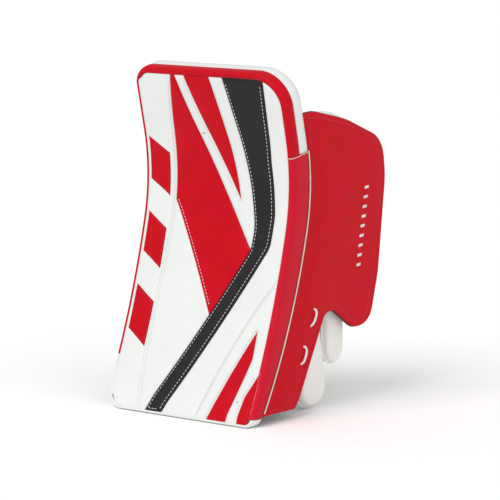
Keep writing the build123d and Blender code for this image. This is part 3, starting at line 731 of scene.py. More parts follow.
def seam_runs(node, distance, neighbours=()):
    """Paths inside a panel, along its long sides or only along the seams it shares with the neighbours."""
    loop = keep_corners(panel_loop(node), 1.0 * MM)
    moved, fine = inward(loop, distance * MM)
    ends = (moved[:, 1] > 4 * MM) & (moved[:, 1] < LENGTH - 12.5 * MM)
    wanted = fine & ends & (np.abs(moved[:, 0]) < WIDTH / 2 - 9.5 * MM)
    if neighbours:
        near = np.zeros(len(loop), bool)
        for other in neighbours:
            near |= edge_distance(loop, keep_corners(panel_loop(other), 1.0 * MM)) < 0.4 * MM
        wanted &= near
    return runs_of(moved, wanted)


# label: (panel, distance from its edge in mm, the neighbours it is sewn to, or all round)
STITCHED = {
    "stripe": ("face_stripe", 3.4, ()),
    "field": ("face_field", 4.0, ("face_lower_panel",)),
    "outer_column": ("face_outer_column", 2.4, ("face_field", "face_lower_panel", "face_rays")),
    "toe_panel": ("face_toe_panel", 2.4, ("face_inner_column",)),
    "rays": ("face_rays", 2.0, ("face_field", "face_wedge")),
    "toe_rays": ("face_toe_panel", 2.0, ("face_toe_ray", "face_toe_corner")),
}


def build_face_stitches():
    for label, (node, distance, neighbours) in STITCHED.items():
        runs = seam_runs(node, distance, neighbours)
        rows = [stitches("row", run, on_face, "thread_white") for run in runs]
        seam = join(label + "_stitches", rows)
        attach(seam, "board")
    holes = np.array([(96.5, 14), (97.0, 36), (96.5, 58)]) * MM
    holes[:, 1] = s_of_z(holes[:, 1])
    dots = stitches("corner_dots", holes, lambda p: face_surface(p, 0.3 * MM), "thread_white", 2.6, 0.9, 0.32)
    top = np.array([(16, LENGTH / MM - 6.0), (75, LENGTH / MM - 6.0)]) * MM
    lift = lambda p: face_surface(p, 0.45 * MM)
    dark = stitches("stripe_end_stitches", top, lift, "thread_black", 2.6, 1.8, 0.4)
    for piece in (dots, dark):
        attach(piece, "board")


def build_cross_seams():
    """The short dark joins across a white ray, at the top and at the toe."""
    ends = (((-16.5, 297.0), (-3.0, 305.5)), ((67.0, 28.5), (77.0, 24.0)))
    rows = []
    for a, b in ends:
        path = np.array([a, b]) * MM
        path[:, 1] = s_of_z(path[:, 1])
        for at in (0.0, 0.82):
            start = path[0] + (path[1] - path[0]) * at
            short = np.array([start, start + (path[1] - path[0]) * 0.18])
            rows.append(tube("tick", on_face(resample(short, 0.5 * MM)), 0.3 * MM, "thread_black", 6))
    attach(join("ray_joins", rows), "board")


BAR_LEFT, BAR_RIGHT, BAR_DROP = -93.5 * MM, -66 * MM, 17 * MM
BARS = ((66, 64), (148, 60), (226, 64))  # foot and height, mm


def bar_top(points, distance):
    rim = 0.5 * MM * (1 - np.exp(-distance / (0.7 * MM)))
    return board_point(points[:, 0], points[:, 1], -(PUFF - 0.1 * MM) - rim)


def bar_bottom(points, distance):
    return board_point(points[:, 0], points[:, 1], np.zeros(len(points)))


def build_bars():
    """Three plain slanted blocks of red leather sewn on the outer column."""
    for number, (foot, height) in enumerate(BARS, 1):
        low, high = foot * MM, (foot + height) * MM
        corners = [(BAR_LEFT, high), (BAR_LEFT, low + BAR_DROP)]
        corners += [(BAR_RIGHT, low), (BAR_RIGHT, high - BAR_DROP)]
        loop = np.array([(x, float(s_of_z(z))) for x, z in corners])
        loop = keep_corners(loop, 1.5 * MM)
        bar = pillow(f"column_bar_{number}", loop, bar_top, bar_bottom, "red", (0.4, 1.0), 4.0, 1.5)
        path, keep = inward(keep_corners(loop, 1.0 * MM), 1.8 * MM)
        raised = lambda p: face_surface(p, 1.0 * MM)
        seam = stitches(f"column_bar_{number}_stitches", path[keep], raised, "thread_red", 3.4, 2.4, 0.3)
        for piece in (bar, seam):
            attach(piece, "board")


def side_point(u, depth, out=0.2):
    """A point on the side wall, `out` millimetres proud of it."""
    x, s = outline_at(u, -out * MM)
    return board_point(x, s, depth)


def build_side_trim():
    """Piping along the back edge of the thumb side, and the thread over the slanted seam."""
    foot = float(s_of_z(14 * MM)) - CORNERS["thumb_toe"]
    top = SEAM_U + SEAM_SLANT * 34 * MM
    path = [
        side_point(u, thickness(outline_at(u, 0)[1]) + 0.2 * MM, 0.35)
        for u in np.linspace(foot, top, 120)
    ]
    piping = tube("piping_cord", np.array(path), 0.75 * MM, "cord", 10)
    fit(piping, "piping")
    deep = float(thickness(s_of_z(280 * MM))) / MM
    section = [(inset - 0.25, depth - 0.35) for inset, depth in FACE_RIM]
    section += [(-0.5, depth) for depth in np.linspace(6, deep, 16)]
    over = []
    for inset, depth in section:
        x, s = outline_at(SEAM_U - 0.8 * MM + SEAM_SLANT * depth * MM, inset * MM)
        over.append(board_point(x, s, depth * MM))
    thread = tube("slanted_seam_thread", resample(np.array(over), 1.2 * MM), 0.4 * MM, "cord", 6)
    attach(thread, "board")


# ---------------------------------------------------------------- side shield
SHIELD_OUT, SHIELD_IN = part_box("shield_skin")[1].x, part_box("shield_liner")[0].x
SHIELD_SPLIT = SHIELD_OUT - 4.6 * MM


def rounded_rim(distance, radius):
    """How far a surface has dropped at this distance from its edge."""
    short = np.clip(radius - distance, 0, radius)
    return radius - np.sqrt(radius**2 - short**2)


def shield_relief(points):
    """Soft unevenness of the padded shield: a shallow valley beside the board and long, low waves."""
    y, z = points[:, 0], points[:, 1]
    s = s_of_z(z)
    face_y, _, tilt = face_side(s)
    beside = y - face_y - thickness(s) / np.cos(tilt)
    valley = 1.1 * MM * np.exp(-((beside - 9 * MM) / (9 * MM)) ** 2)
    waves = 0.4 * MM * np.sin(y / (23 * MM) + 1.1 * np.sin(z / (47 * MM))) * np.sin(z / (38 * MM) + 0.7)
    return valley - waves


def shield_out(points, distance):
    seam = 0.35 * MM * np.exp(-(((distance - 6.5 * MM) / (0.8 * MM)) ** 2))
    relief = shield_relief(points) * np.clip(distance / (12 * MM), 0, 1)
    x = SHIELD_OUT + 0.6 * MM - rounded_rim(distance, 2.4 * MM) - seam - relief
    return np.stack([x, points[:, 0], points[:, 1]], -1)


def shield_split(points, distance):
    return np.stack([np.full(len(points), SHIELD_SPLIT), points[:, 0], points[:, 1]], -1)


def shield_in(points, distance):
    quilt = 0.7 * MM * np.exp(-(((distance - 9 * MM) / (1.0 * MM)) ** 2))
    x = SHIELD_IN + rounded_rim(distance, 3.2 * MM) + quilt
    return np.stack([x, points[:, 0], points[:, 1]], -1)


SHIELD_ROWS = (0.4, 1.0, 1.8, 2.6, 5.6, 6.5, 7.4)
LINER_ROWS = (0.5, 1.4, 3.0, 8.0, 9.0, 10.0)


def grown(loop, distance):
    """The shield's outline moved out by this many millimetres where it is clear of the board."""
    fine = keep_corners(loop, 1.5 * MM)
    sign = 1 if area(fine) > 0 else -1
    run = np.roll(fine, -2, 0) - np.roll(fine, 2, 0)
    run /= np.maximum(np.linalg.norm(run, axis=1), 1e-12)[:, None]
    out = -sign * np.stack([-run[:, 1], run[:, 0]], -1)
    s = s_of_z(fine[:, 1])
    beside = fine[:, 0] - face_side(s)[0] - thickness(s)
    share = np.clip((beside - 2 * MM) / (6 * MM), 0, 1) * (fine[:, 1] > 20 * MM)
    return fine + out * (share * distance * MM)[:, None]


def build_shield():
    loop = front_outline("shield_skin", 0, 1)
    skin = pillow("shield_skin_red", grown(loop, 0.3), shield_out, shield_split, "red", SHIELD_ROWS, 5.0)
    liner = pillow("shield_liner_pad", grown(loop, 0.9), shield_split, shield_in, "nylon", LINER_ROWS, 6.0)
    for piece in (skin, liner):
        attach(piece, "board")
    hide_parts("shield_skin")
    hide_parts("shield_liner")
    path, keep = inward(keep_corners(loop, 1.0 * MM), 5.2 * MM)
    on_skin = lambda p: np.stack([np.full(len(p), SHIELD_OUT + 0.4 * MM), p[:, 0], p[:, 1]], -1)
    s = s_of_z(path[:, 1])
    clear = path[:, 0] > face_side(s)[0] + thickness(s) + 4 * MM
    for number, run in enumerate(runs_of(path, keep & clear), 1):
        row = stitches(f"shield_stitches_{number}", run, on_skin, "thread_red", 3.6, 2.6, 0.35)
        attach(row, "board")


DASHES = 9
DASH_FOOT, DASH_TOP = (181, 146), (196, 240)  # (y, z), mm


def build_shield_dashes():
    """A row of short white bars, printed in relief where a shield is usually decorated."""
    foot, top = np.array(DASH_FOOT) * MM, np.array(DASH_TOP) * MM
    along = (top - foot) / np.linalg.norm(top - foot)
    across = np.array([along[1], -along[0]])
    bars = []
    for k in range(DASHES):
        centre = foot + (top - foot) * (k + 0.5) / DASHES
        half, wide, lean = 1.5 * MM, 3.4 * MM, 1.6 * MM
        corners = [(-half, -wide), (half, -wide), (half + lean, wide), (-half + lean, wide)]
        loop = np.array([centre + a * along + b * across for a, b in corners])
        high = lambda p, _: shield_out(p, np.full(len(p), 40 * MM)) + np.array([0.35 * MM, 0, 0])
        low = lambda p, _: shield_out(p, np.full(len(p), 40 * MM)) - np.array([0.6 * MM, 0, 0])
        bars.append(pillow("bar", loop, high, low, "thread_white", (0.4,), 1.2, 0.8))
    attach(join("shield_dashes", bars), "board")


# Start, bow and end of each lace, (y, z), mm
LACE_ENDS = (((100.4, 114.0), (103.6, 106.5), (94.0, 93.6)), ((82.9, 76.0), (86.3, 68.0), (78.0, 55.0)))


def build_laces():
    """Two flat laces that come out of the shield, bow and go back in."""
    cords = []
    for first, middle, last in LACE_ENDS:
        t = np.linspace(0, 1, 28)[:, None]
        a, b, c = (np.array(p) * MM for p in (first, middle, last))
        control = 2 * b - 0.5 * (a + c)
        flat = (1 - t) ** 2 * a + 2 * t * (1 - t) * control + t**2 * c
        out = SHIELD_OUT + (-2.6 + 4.6 * np.clip(np.sin(math.pi * t[:, 0]) * 2.6, 0, 1)) * MM
        cords.append(tube("lace", np.column_stack([out, flat]), 1.25 * MM, "lace", 10))
    laces = join("shield_lace_cords", cords)
    fit(laces, "shield_laces")


# ---------------------------------------------------------------- padded soft goods
def mesh_copy(node):
    """Welded copy of a CAD node's largest shell, as corners and faces."""
    bm = bmesh.new()
    bm.from_mesh(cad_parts[node].data)
    bmesh.ops.remove_doubles(bm, verts=bm.verts, dist=1e-6)
    remaining, shells = set(bm.verts), []
    while remaining:
        stack, shell = [remaining.pop()], set()
        while stack:
            vert = stack.pop()
            shell.add(vert)
            for edge in vert.link_edges:
                other = edge.other_vert(vert)
                if other in remaining:
                    remaining.discard(other)
                    stack.append(other)
        shells.append(shell)
    widest = max(shells, key=lambda g: max(v.co.z for v in g) - min(v.co.z for v in g))
    bmesh.ops.delete(bm, geom=[v for v in bm.verts if v not in widest], context="VERTS")
    mesh = bpy.data.meshes.new(node + "_copy")
    bm.to_mesh(mesh)
    bm.free()
    return mesh


def evaluated(obj):
    """The object's mesh with its modifiers applied, as a new object in its place."""
    graph = bpy.context.evaluated_depsgraph_get()
    mesh = bpy.data.meshes.new_from_object(obj.evaluated_get(graph))
    name = obj.name
    bpy.data.objects.remove(obj)
    flat = bpy.data.objects.new(name, mesh)
    bpy.context.scene.collection.objects.link(flat)
    return flat


def puffed(name, mesh, look, voxel=4.5, shrink=1.0, cap=5.0, pressure=4.0, seam=None):
    """A padded cover blown up from a closed mesh by cloth simulation; seam(corner) marks sewn-down points."""
    obj = bpy.data.objects.new(name, mesh)
    bpy.context.scene.collection.objects.link(obj)
    remesh = obj.modifiers.new("remesh", "REMESH")
    remesh.mode = "VOXEL"
    remesh.voxel_size = voxel * MM
    obj = evaluated(obj)
    for vertex, normal in zip(obj.data.vertices, [v.normal.copy() for v in obj.data.vertices]):
        vertex.co -= normal * shrink * MM
    start = np.array([v.co for v in obj.data.vertices])
    held = [i for i, corner in enumerate(start) if seam and seam(corner)]
    if held:
        group = obj.vertex_groups.new(name="sewn")
        group.add(held, 1.0, "REPLACE")
    cloth = obj.modifiers.new("cloth", "CLOTH")
    settings = cloth.settings
    settings.quality = 4
    settings.mass = 0.3
    settings.tension_stiffness = settings.compression_stiffness = 12
    settings.shear_stiffness = 4
    settings.bending_stiffness = 0.4
    settings.use_pressure = True
    settings.uniform_pressure_force = pressure
    settings.effector_weights.gravity = 0
    if held:
        settings.vertex_group_mass = "sewn"
        settings.pin_stiffness = 1.0
    cloth.point_cache.frame_start, cloth.point_cache.frame_end = 1, 20
    for number in range(1, 21):
        bpy.context.scene.frame_set(number)
    obj = evaluated(obj)
    bpy.context.scene.frame_set(1)
    end = np.array([v.co for v in obj.data.vertices])
    move = end - start
    length = np.linalg.norm(move, axis=1)[:, None]
    end = start + move * np.minimum(1, cap * MM / np.maximum(length, 1e-9))
    obj.data.vertices.foreach_set("co", end.astype(np.float32).ravel())
    obj.data.materials.clear()
    obj.data.materials.append(LOOKS[look])
    obj.data.shade_smooth()
    return subdivide(obj)


def hull_path(circles, grow, step=3.0):
    """Closed outline round two circles (y, z, radius in mm), grown by `grow` mm, as (y, z) in metres."""
    (y1, z1, r1), (y2, z2, r2) = circles
    angles = np.linspace(0, 2 * math.pi, 90, endpoint=False)
    ring = np.stack([np.cos(angles), np.sin(angles)], -1)
    first, second = np.array([y1, z1]) + (r1 + grow) * ring, np.array([y2, z2]) + (r2 + grow) * ring
    along = np.array([y1 - y2, z1 - z2], float)
    length = np.linalg.norm(along)
    along /= length
    split = (r2 - r1) / length
    chosen = [p for p, n in zip(first, ring) if n @ along > split]
    chosen += [p for p, n in zip(second, ring) if n @ along <= split]
    middle = (np.array([y1, z1]) + np.array([y2, z2])) / 2
    chosen.sort(key=lambda p: math.atan2(p[1] - middle[1], p[0] - middle[0]))
    return resample(np.array(chosen) * MM, step * MM, closed=True)


INDEX_GUARD = ((108.0, 112.0, 24.0), (121.0, 25.5, 25.5))
THUMB_GUARD = ((160.0, 184.0, 22.0), (163.5, 60.0, 17.5))


def seam_at(x):
    return lambda corner: abs(corner[0] - x) < 2.4 * MM


def guard_seam(name, circles, x, body, sink):
    """Welt of rolled leather round a guard, where its two sides are sewn together."""
    flat = hull_path(circles, -sink)
    welt = tube(name, np.column_stack([np.full(len(flat), x), flat]), 1.3 * MM, "warm_white", 8, closed=True)
    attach(welt, body)


def cover(name, node, mesh, body, look, voxel, shrink, cap, pressure, seam=None):
    """A padded cover over a CAD node, riding on its body."""
    piece = puffed(name, mesh, look, voxel, shrink, cap, pressure, seam)
    fit(piece, node, body)


def even_ring(points, count):
    """A closed outline as exactly `count` evenly spaced points."""
    closed = np.vstack([points, points[:1]])
    run = np.concatenate([[0], np.cumsum(np.linalg.norm(np.diff(closed, axis=0), axis=1))])
    at = np.linspace(0, run[-1], count, endpoint=False)
    return np.stack([np.interp(at, run, closed[:, i]) for i in range(2)], -1)


def hull_blank(circles, near, far, edge):
    """Closed mesh of the hull of two circles between two x planes, with rounded edges."""
    rings = []
    for share, inset in ((0, 1.0), (0.3, 0.4), (1.0, 0.0)):
        rings.append((near + edge * share, edge / MM * inset))
    rings += [(near + far - x, inset) for x, inset in rings[::-1]]
    loops = []
    for x, inset in rings:
        flat = even_ring(hull_path(circles, -inset), 96)
        loops.append(np.column_stack([np.full(len(flat), x), flat]))
    blank = loft("blank", loops, "warm_white")
    mesh = blank.data
    bpy.data.objects.remove(blank)
    return mesh


def build_guard(kind, circles, mesh, middle, body):
    """A padded guard with a welt round it, where its two halves are sewn together."""
    node = f"{kind}_guard"
    cover(f"{node}_cover", node, mesh, body, "warm_white", 4.5, 1.6, 4, 4, seam_at(middle))
    guard_seam(f"{node}_welt", circles, middle, body, 1.6)


def build_padding():
    low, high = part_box("index_guard")
    middle = (low.x + high.x) / 2
    build_guard("index", INDEX_GUARD, mesh_copy("index_guard"), middle, "index_flap")
    low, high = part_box("thumb_guard")
    middle = (low.x + high.x) / 2 + 3 * MM
    build_guard("thumb", THUMB_GUARD, hull_blank(THUMB_GUARD, low.x, high.x, 6 * MM), middle, "thumb")
    cover("cuff_pad_cover", "cuff_pad", mesh_copy("cuff_pad"), "board", "warm_white", 4.5, 1.2, 4, 4)
    cover("cuff_cover", "cuff", mesh_copy("cuff"), "board", "nylon", 3.6, 0.8, 3, 3)


# ---------------------------------------------------------------- back of the board
def behind_back(x, z, extra):
    """Points at height z, `extra` behind the back of the board."""
    x, z, extra = np.broadcast_arrays(*(np.asarray(v, float) for v in (x, z, extra)))
    s = s_of_z(z)
    for _ in range(12):
        s = s + 0.7 * (z - board_point(x, s, thickness(s) + extra)[..., 2])
    return board_point(x, s, thickness(s) + extra)


BACK_CHANNELS = (92, 176, 262)  # distance of the quilting lines above the toe, mm


def back_top(points, distance):
    x, s = points[:, 0], points[:, 1]
    quilt = sum(np.exp(-(((s - c * MM) / (1.6 * MM)) ** 2)) for c in BACK_CHANNELS)
    puff = 1.5 * (1 - np.exp(-distance / (7 * MM))) - 1.2 * quilt
    return board_point(x, s, thickness(s) - 0.9 * MM + puff * MM)


def back_bottom(points, distance):
    x, s = points[:, 0], points[:, 1]
    return board_point(x, s, thickness(s) - 2.2 * MM)


def build_back_cover():
    """Quilted nylon back of the board and the tape that binds its edge."""
    loop = np.array([outline_at(u, 2.4 * MM) for u in np.linspace(0, ROUND, 480, endpoint=False)])
    back = pillow("back_cover_quilt", loop, back_top, back_bottom, "nylon", (1.2, 3.0, 6.0), 4.0, 2.4)
    fit(back, "back_cover")
    edge = [outline_at(u, 3.0 * MM) for u in np.linspace(0, ROUND, 420, endpoint=False)]
    path = np.array([board_point(x, s, thickness(s) + 0.1 * MM) for x, s in edge])
    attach(tube("back_edge_tape", path, 1.3 * MM, "webbing", 8, closed=True), "board")


SCREWS = ((-20, 205), (38, 205), (-20, 285), (38, 285))  # (x, z) on the face, mm
SCREW_SEAT = 31.0 * MM  # behind the face
PAD_GROOVES = (33.6, 8.1, -16.8)  # x between the fingers, mm
PAD_DEPTH = 9 * MM


def pad_top(points, distance):
    x, z = points[:, 0], points[:, 1]
    groove = sum(np.exp(-(((x - c * MM) / (2.2 * MM)) ** 2)) for c in PAD_GROOVES)
    fade = np.clip((225 * MM - z) / (18 * MM), 0, 1)
    rise = PAD_DEPTH - rounded_rim(distance, 4 * MM) - 1.7 * MM * groove * fade
    rise = rise + 0.5 * MM * np.sin(math.pi * np.clip(distance / (50 * MM), 0, 1))
    for at_x, at_z in SCREWS:
        s = float(s_of_z(at_z * MM))
        mouth = board_point(at_x * MM, s, thickness(s) + PAD_DEPTH)
        away = np.hypot(x - mouth[0], z - mouth[2])
        share = np.clip((away - 5.9 * MM) / (1.4 * MM), 0, 1)
        rise = np.where(share < 1, share * rise + (1 - share) * (SCREW_SEAT - thickness(s)), rise)
    return behind_back(x, z, rise)


def pad_bottom(points, distance):
    return behind_back(points[:, 0], points[:, 1], -0.4 * MM)


def build_hand_pad():
    """Grooved foam pad under the back of the hand, with a hole over each screw."""
    loop = front_outline("hand_pad", 1, 1)
    pad = pillow("hand_pad_foam", loop, pad_top, pad_bottom, "foam", (0.6, 1.6, 3.0), 2.2)
    fit(pad, "hand_pad")


# ---------------------------------------------------------------- glove
GLOVE_X = 9 * MM
GLOVE_MIDDLE = 39.4 * MM  # middle of the glove's depth, behind the back of the board
GLOVE_CORE = (29 * MM, 6 * MM)  # half size of the rectangle its corner centres make
GLOVE_ROUND = 24 * MM
GLOVE_SPLIT = 23.4 * MM  # depth at which mesh back and leather palm meet
GLOVE_WALL = 2 * MM
GLOVE_LOW, GLOVE_HIGH = 142 * MM, 255 * MM


def glove_section(step=3.0):
    """Core points and outward normals round the glove, from the middle of its board side."""
    a, b = GLOVE_CORE
    corners = ((a, -b, -QUARTER), (a, b, 0.0), (-a, b, QUARTER), (-a, -b, 2 * QUARTER))
    points, normals, here = [], [], np.array([0.0, -b])
    for cx, ce, start in corners:
        corner = np.array([cx, ce])
        count = max(1, int(np.linalg.norm(corner - here) / (step * MM)))
        for k in range(count):
            points.append(here + (corner - here) * k / count)
            normals.append((math.cos(start), math.sin(start)))
        for k in range(13):
            angle = start + QUARTER * k / 12
            points.append(corner)
            normals.append((math.cos(angle), math.sin(angle)))
        here = corner
    points.append(np.array([0.0, -b]))
    normals.append((0.0, -1.0))
    return np.array(points), np.array(normals)


def wrinkle(x, z):
    """Soft creases of well-used palm leather."""
    first = np.sin(x / (8 * MM) + 1.4 * np.sin(z / (15 * MM)))
    second = np.sin(z / (6.5 * MM) + 1.1 * np.sin(x / (17 * MM)))
    return 0.45 * MM * first * np.sin(z / (24 * MM)) + 0.35 * MM * second


def glove_sheet(name, core, normals, look, creased):
    """One bent sheet of the glove, with a rolled hem at its top and bottom."""
    rings = []
    for z in np.linspace(GLOVE_LOW, GLOVE_HIGH, 44):
        hem = 0.8 * MM * sum(np.exp(-(((z - end) / (3 * MM)) ** 2)) for end in (GLOVE_LOW, GLOVE_HIGH))
        x = core[:, 0] + normals[:, 0] * GLOVE_ROUND + GLOVE_X
        bump = hem + (wrinkle(x, z) if creased else 0.12 * MM * np.sin(x / (2.2 * MM)))
        sides = []
        for reach in (GLOVE_ROUND + bump, GLOVE_ROUND - GLOVE_WALL + 0.4 * bump):
            place = core + normals * np.reshape(reach, (-1, 1))
            sides.append(behind_back(GLOVE_X + place[:, 0], z, GLOVE_MIDDLE + place[:, 1]))
        rings.append(np.vstack([sides[0], sides[1][::-1]]))
    return loft(name, rings, look)


def rear_surface(x, z, grow):
    """The rear of the glove, or a layer that lies `grow` on it."""
    side = np.maximum(0, np.abs(x - GLOVE_X) - GLOVE_CORE[0])
    reach = np.sqrt((GLOVE_ROUND + grow) ** 2 - side**2)
    return behind_back(x, z, GLOVE_MIDDLE + GLOVE_CORE[1] + reach + wrinkle(x, z))


def rounded_loop(low, high, radius, count=8):
    """Rounded rectangle between two corners, anticlockwise."""
    points = []
    middles = ((high[0], low[1], -1), (high[0], high[1], 0), (low[0], high[1], 1), (low[0], low[1], 2))
    for x, y, turn in middles:
        cx = x - radius if x == high[0] else x + radius
        cy = y - radius if y == high[1] else y + radius
        for k in range(count + 1):
            angle = (turn + k / count) * QUARTER
            points.append((cx + radius * math.cos(angle), cy + radius * math.sin(angle)))
    return np.array(points)


def build_glove():
    core, normals = glove_section()
    deep = GLOVE_MIDDLE + core[:, 1] + normals[:, 1] * GLOVE_ROUND > GLOVE_SPLIT
    palm = glove_sheet("palm_leather", core[deep], normals[deep], "tan", True)
    first = int(np.argmax(deep))
    last = len(deep) - int(np.argmax(deep[::-1]))
    order = list(range(last - 1, len(deep))) + list(range(0, first + 1))
    back = glove_sheet("glove_back_mesh", core[order], normals[order], "nylon", False)
    for piece, node, label in ((palm, "palm", "palm_leather"), (back, "glove_back", "black_nylon")):
        fit(piece, node)
    low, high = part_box("palm_patch")
    loop = rounded_loop((low.x, low.z), (high.x, high.z), 14 * MM)
    top = lambda p, d: rear_surface(p[:, 0], p[:, 1], 1.3 * MM - rounded_rim(d, 0.8 * MM))
    bottom = lambda p, d: rear_surface(p[:, 0], p[:, 1], -0.5 * MM)
    patch = pillow("palm_patch_suede", loop, top, bottom, "dark_tan", (0.5, 1.2), 3.0)
    fit(patch, "palm_patch")
    for number, inset in enumerate((2.4, 4.6), 1):
        path, keep = inward(keep_corners(loop, 1.0 * MM), inset * MM)
        raised = lambda p: rear_surface(p[:, 0], p[:, 1], 1.5 * MM)
        seam = stitches(f"palm_patch_stitches_{number}", path[keep], raised, "cord", 3.4, 2.3, 0.32, True)
        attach(seam, "board")


# ---------------------------------------------------------------- thumb and fingers
def path_rings(path, radii, sides=28):
    """Rings of points square to a path, one radius for each."""
    path = np.asarray(path, float)
    ahead = np.gradient(path, axis=0)
    ahead /= np.linalg.norm(ahead, axis=1)[:, None]
    normal, rings = np.array([1.0, 0.0, 0.0]), []
    angles = np.linspace(0, 2 * math.pi, sides, endpoint=False)
    for point, direction, radius in zip(path, ahead, radii):
        normal = normal - direction * (normal @ direction)
        normal /= np.linalg.norm(normal)
        other = np.cross(direction, normal)
        rings.append([point + radius * (math.cos(a) * normal + math.sin(a) * other) for a in angles])
    return rings


THUMB_ROUTE = ((53, 129, 234), (60, 134, 230), (68, 142, 222))
THUMB_ROUTE += ((73, 150, 211), (75, 156, 200), (75.5, 159, 190))
THUMB_SLEEVE = 10.6 * MM


def build_thumb_sleeve():
    """Nylon sleeve that leads the thumb from the glove into its guard, and the rolled mouth of the guard."""
    route = resample(np.array(THUMB_ROUTE) * MM, 1.6 * MM)
    fold = np.sin(np.arange(len(route)) * 1.25)
    sleeve = loft("thumb_sleeve", path_rings(route, THUMB_SLEEVE + 0.55 * MM * fold), "nylon")
    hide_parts("thumb_gusset")
    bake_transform(sleeve)
    mouth = route[-6]
    ahead = route[-4] - route[-8]
    ahead /= np.linalg.norm(ahead)
    across = np.cross(ahead, (1, 0, 0))
    angles = np.linspace(0, 2 * math.pi, 48, endpoint=False)
    ring = [mouth + 12.4 * MM * (math.cos(a) * np.array([1.0, 0, 0]) + math.sin(a) * across) for a in angles]
    rim = tube("thumb_mouth_roll", ring, 2.2 * MM, "tan", 10, closed=True)
    fit(rim, "thumb_stall", "thumb")


KNUCKLE_Y, KNUCKLE_Z = 88.0, 140.5
FINGERS = {"index": (46.5, 12.2), "middle": (20.8, 12.2), "ring": (-4.6, 12.0), "little": (-29.0, 11.2)}
BASE_LEAN, TIP_LEAN = math.radians(12), math.radians(50)
BASE_RUN, TIP_RUN = 46.4, 34.0
# A finger's cell at the glove's lower edge: width over the finger's radius, and half its depth, mm
CELL_PLAY, CELL_DEPTH = 0.3, 27.0
CELL_Z = 147.0
FLARE_END = 24.0  # how far down the finger the flared leather reaches, mm


def lean_frame(lean):
    """Directions down a finger and across it towards the palm."""
    return np.array([0, math.sin(lean), -math.cos(lean)]), np.array([0, math.cos(lean), math.sin(lean)])


def finger_ring(centre, palmward, radius, sides=28):
    angles = np.linspace(0, 2 * math.pi, sides, endpoint=False)
    return [centre + radius * (math.cos(a) * np.array([1.0, 0, 0]) + math.sin(a) * palmward) for a in angles]


def finger_rings(knuckle, size):
    """Rings of one finger sleeve, mm: straight, folded over the middle joint, straight and domed."""
    along, palmward = lean_frame(BASE_LEAN)
    rings = []
    for k, run in enumerate(np.linspace(5, BASE_RUN - 3, 16)):
        swell = 0.3 * math.sin(1.9 * k)
        rings.append(finger_ring(knuckle + along * run + palmward * size, palmward, size + swell))
    joint = knuckle + along * BASE_RUN - palmward * 2.0
    for k in range(9):
        _, turned = lean_frame(BASE_LEAN + (TIP_LEAN - BASE_LEAN) * k / 8)
        size_here = size + (0.7 if k % 2 else -0.5)
        rings.append(finger_ring(joint + turned * (size + 2.0), turned, size_here))
    along, palmward = lean_frame(TIP_LEAN)
    joint = knuckle + lean_frame(BASE_LEAN)[0] * BASE_RUN
    for k, run in enumerate(np.linspace(3, TIP_RUN, 11)):
        swell = 0.25 * math.sin(2.2 * k)
        rings.append(finger_ring(joint + along * run + palmward * size, palmward, size + swell))
    for k in range(1, 9):
        angle = QUARTER * k / 8.4
        centre = joint + along * (TIP_RUN + size * math.sin(angle)) + palmward * size
        rings.append(finger_ring(centre, palmward, size * math.cos(angle)))
    return np.array(rings), joint


def build_finger(finger, across, size):
    """One finger: a flared piece from the glove to the finger, and the finger's own sleeve."""
    knuckle = np.array([across, KNUCKLE_Y, KNUCKLE_Z])
    rings, joint = finger_rings(knuckle, size)
    sleeve = loft(f"{finger}_sleeve", rings * MM, "tan")
    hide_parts(f"stall_{finger}_base", f"stall_{finger}_tip")
    down, palmward = lean_frame(BASE_LEAN)
    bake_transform(sleeve)
    middle = behind_back(across * MM, CELL_Z * MM, GLOVE_MIDDLE) / MM
    angles = np.linspace(0, 2 * math.pi, 28, endpoint=False)
    square = np.stack([np.cos(angles), np.sin(angles)], -1)
    square = np.sign(square) * np.abs(square) ** 0.5
    first = np.array([middle + ((size + CELL_PLAY) * u, CELL_DEPTH * v, 0) for u, v in square])
    last = np.array(finger_ring(knuckle + down * FLARE_END + palmward * size, palmward, size + 0.5))
    flare = []
    for k in range(13):
        w = k / 12
        share = w * w * (3 - 2 * w) * 0.6 + w * 0.4
        pinch = 1 + 0.012 * math.sin(k * 2.1)
        ring = first + (last - first) * share
        flare.append((ring - ring.mean(0)) * pinch + ring.mean(0))
    web = loft(f"{finger}_flare", np.array(flare) * MM, "tan")
    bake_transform(web)


# ---------------------------------------------------------------- cuff binding and wrist strap
CUFF_NOTCH = 16 * MM


def build_cuff_binding():
    """Rolled tape over the top edge of the cuff, down through the dip at its rear."""
    low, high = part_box("cuff")
    wall, radius = 4 * MM, 8 * MM
    left, right, rear, top = low.x + wall, high.x - wall, high.y - wall, high.z
    front = float(behind_back(left, top, 2 * MM)[1])
    turns = np.linspace(0, QUARTER, 8)
    path = [(left, y) for y in np.linspace(front, rear - radius, 20)]
    path += [(left + radius - radius * math.cos(a), rear - radius + radius * math.sin(a)) for a in turns]
    path += [(x, rear) for x in np.linspace(left + radius, right - radius, 60)]
    path += [(right - radius + radius * math.sin(a), rear - radius + radius * math.cos(a)) for a in turns]
    path += [(right, y) for y in np.linspace(rear - radius, front, 20)]
    path = np.array(path)
    centre = (low.x + high.x) / 2
    dip = np.sqrt(np.maximum(0, CUFF_NOTCH**2 - (path[:, 0] - centre) ** 2)) * (path[:, 1] > rear - 1 * MM)
    path = resample(np.column_stack([path, top - 1.6 * MM - dip]), 2.5 * MM)
    for _ in range(3):
        path[1:-1] = (path[:-2] + 2 * path[1:-1] + path[2:]) / 4
    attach(tube("cuff_binding", path, 2.6 * MM, "webbing", 14), "board")


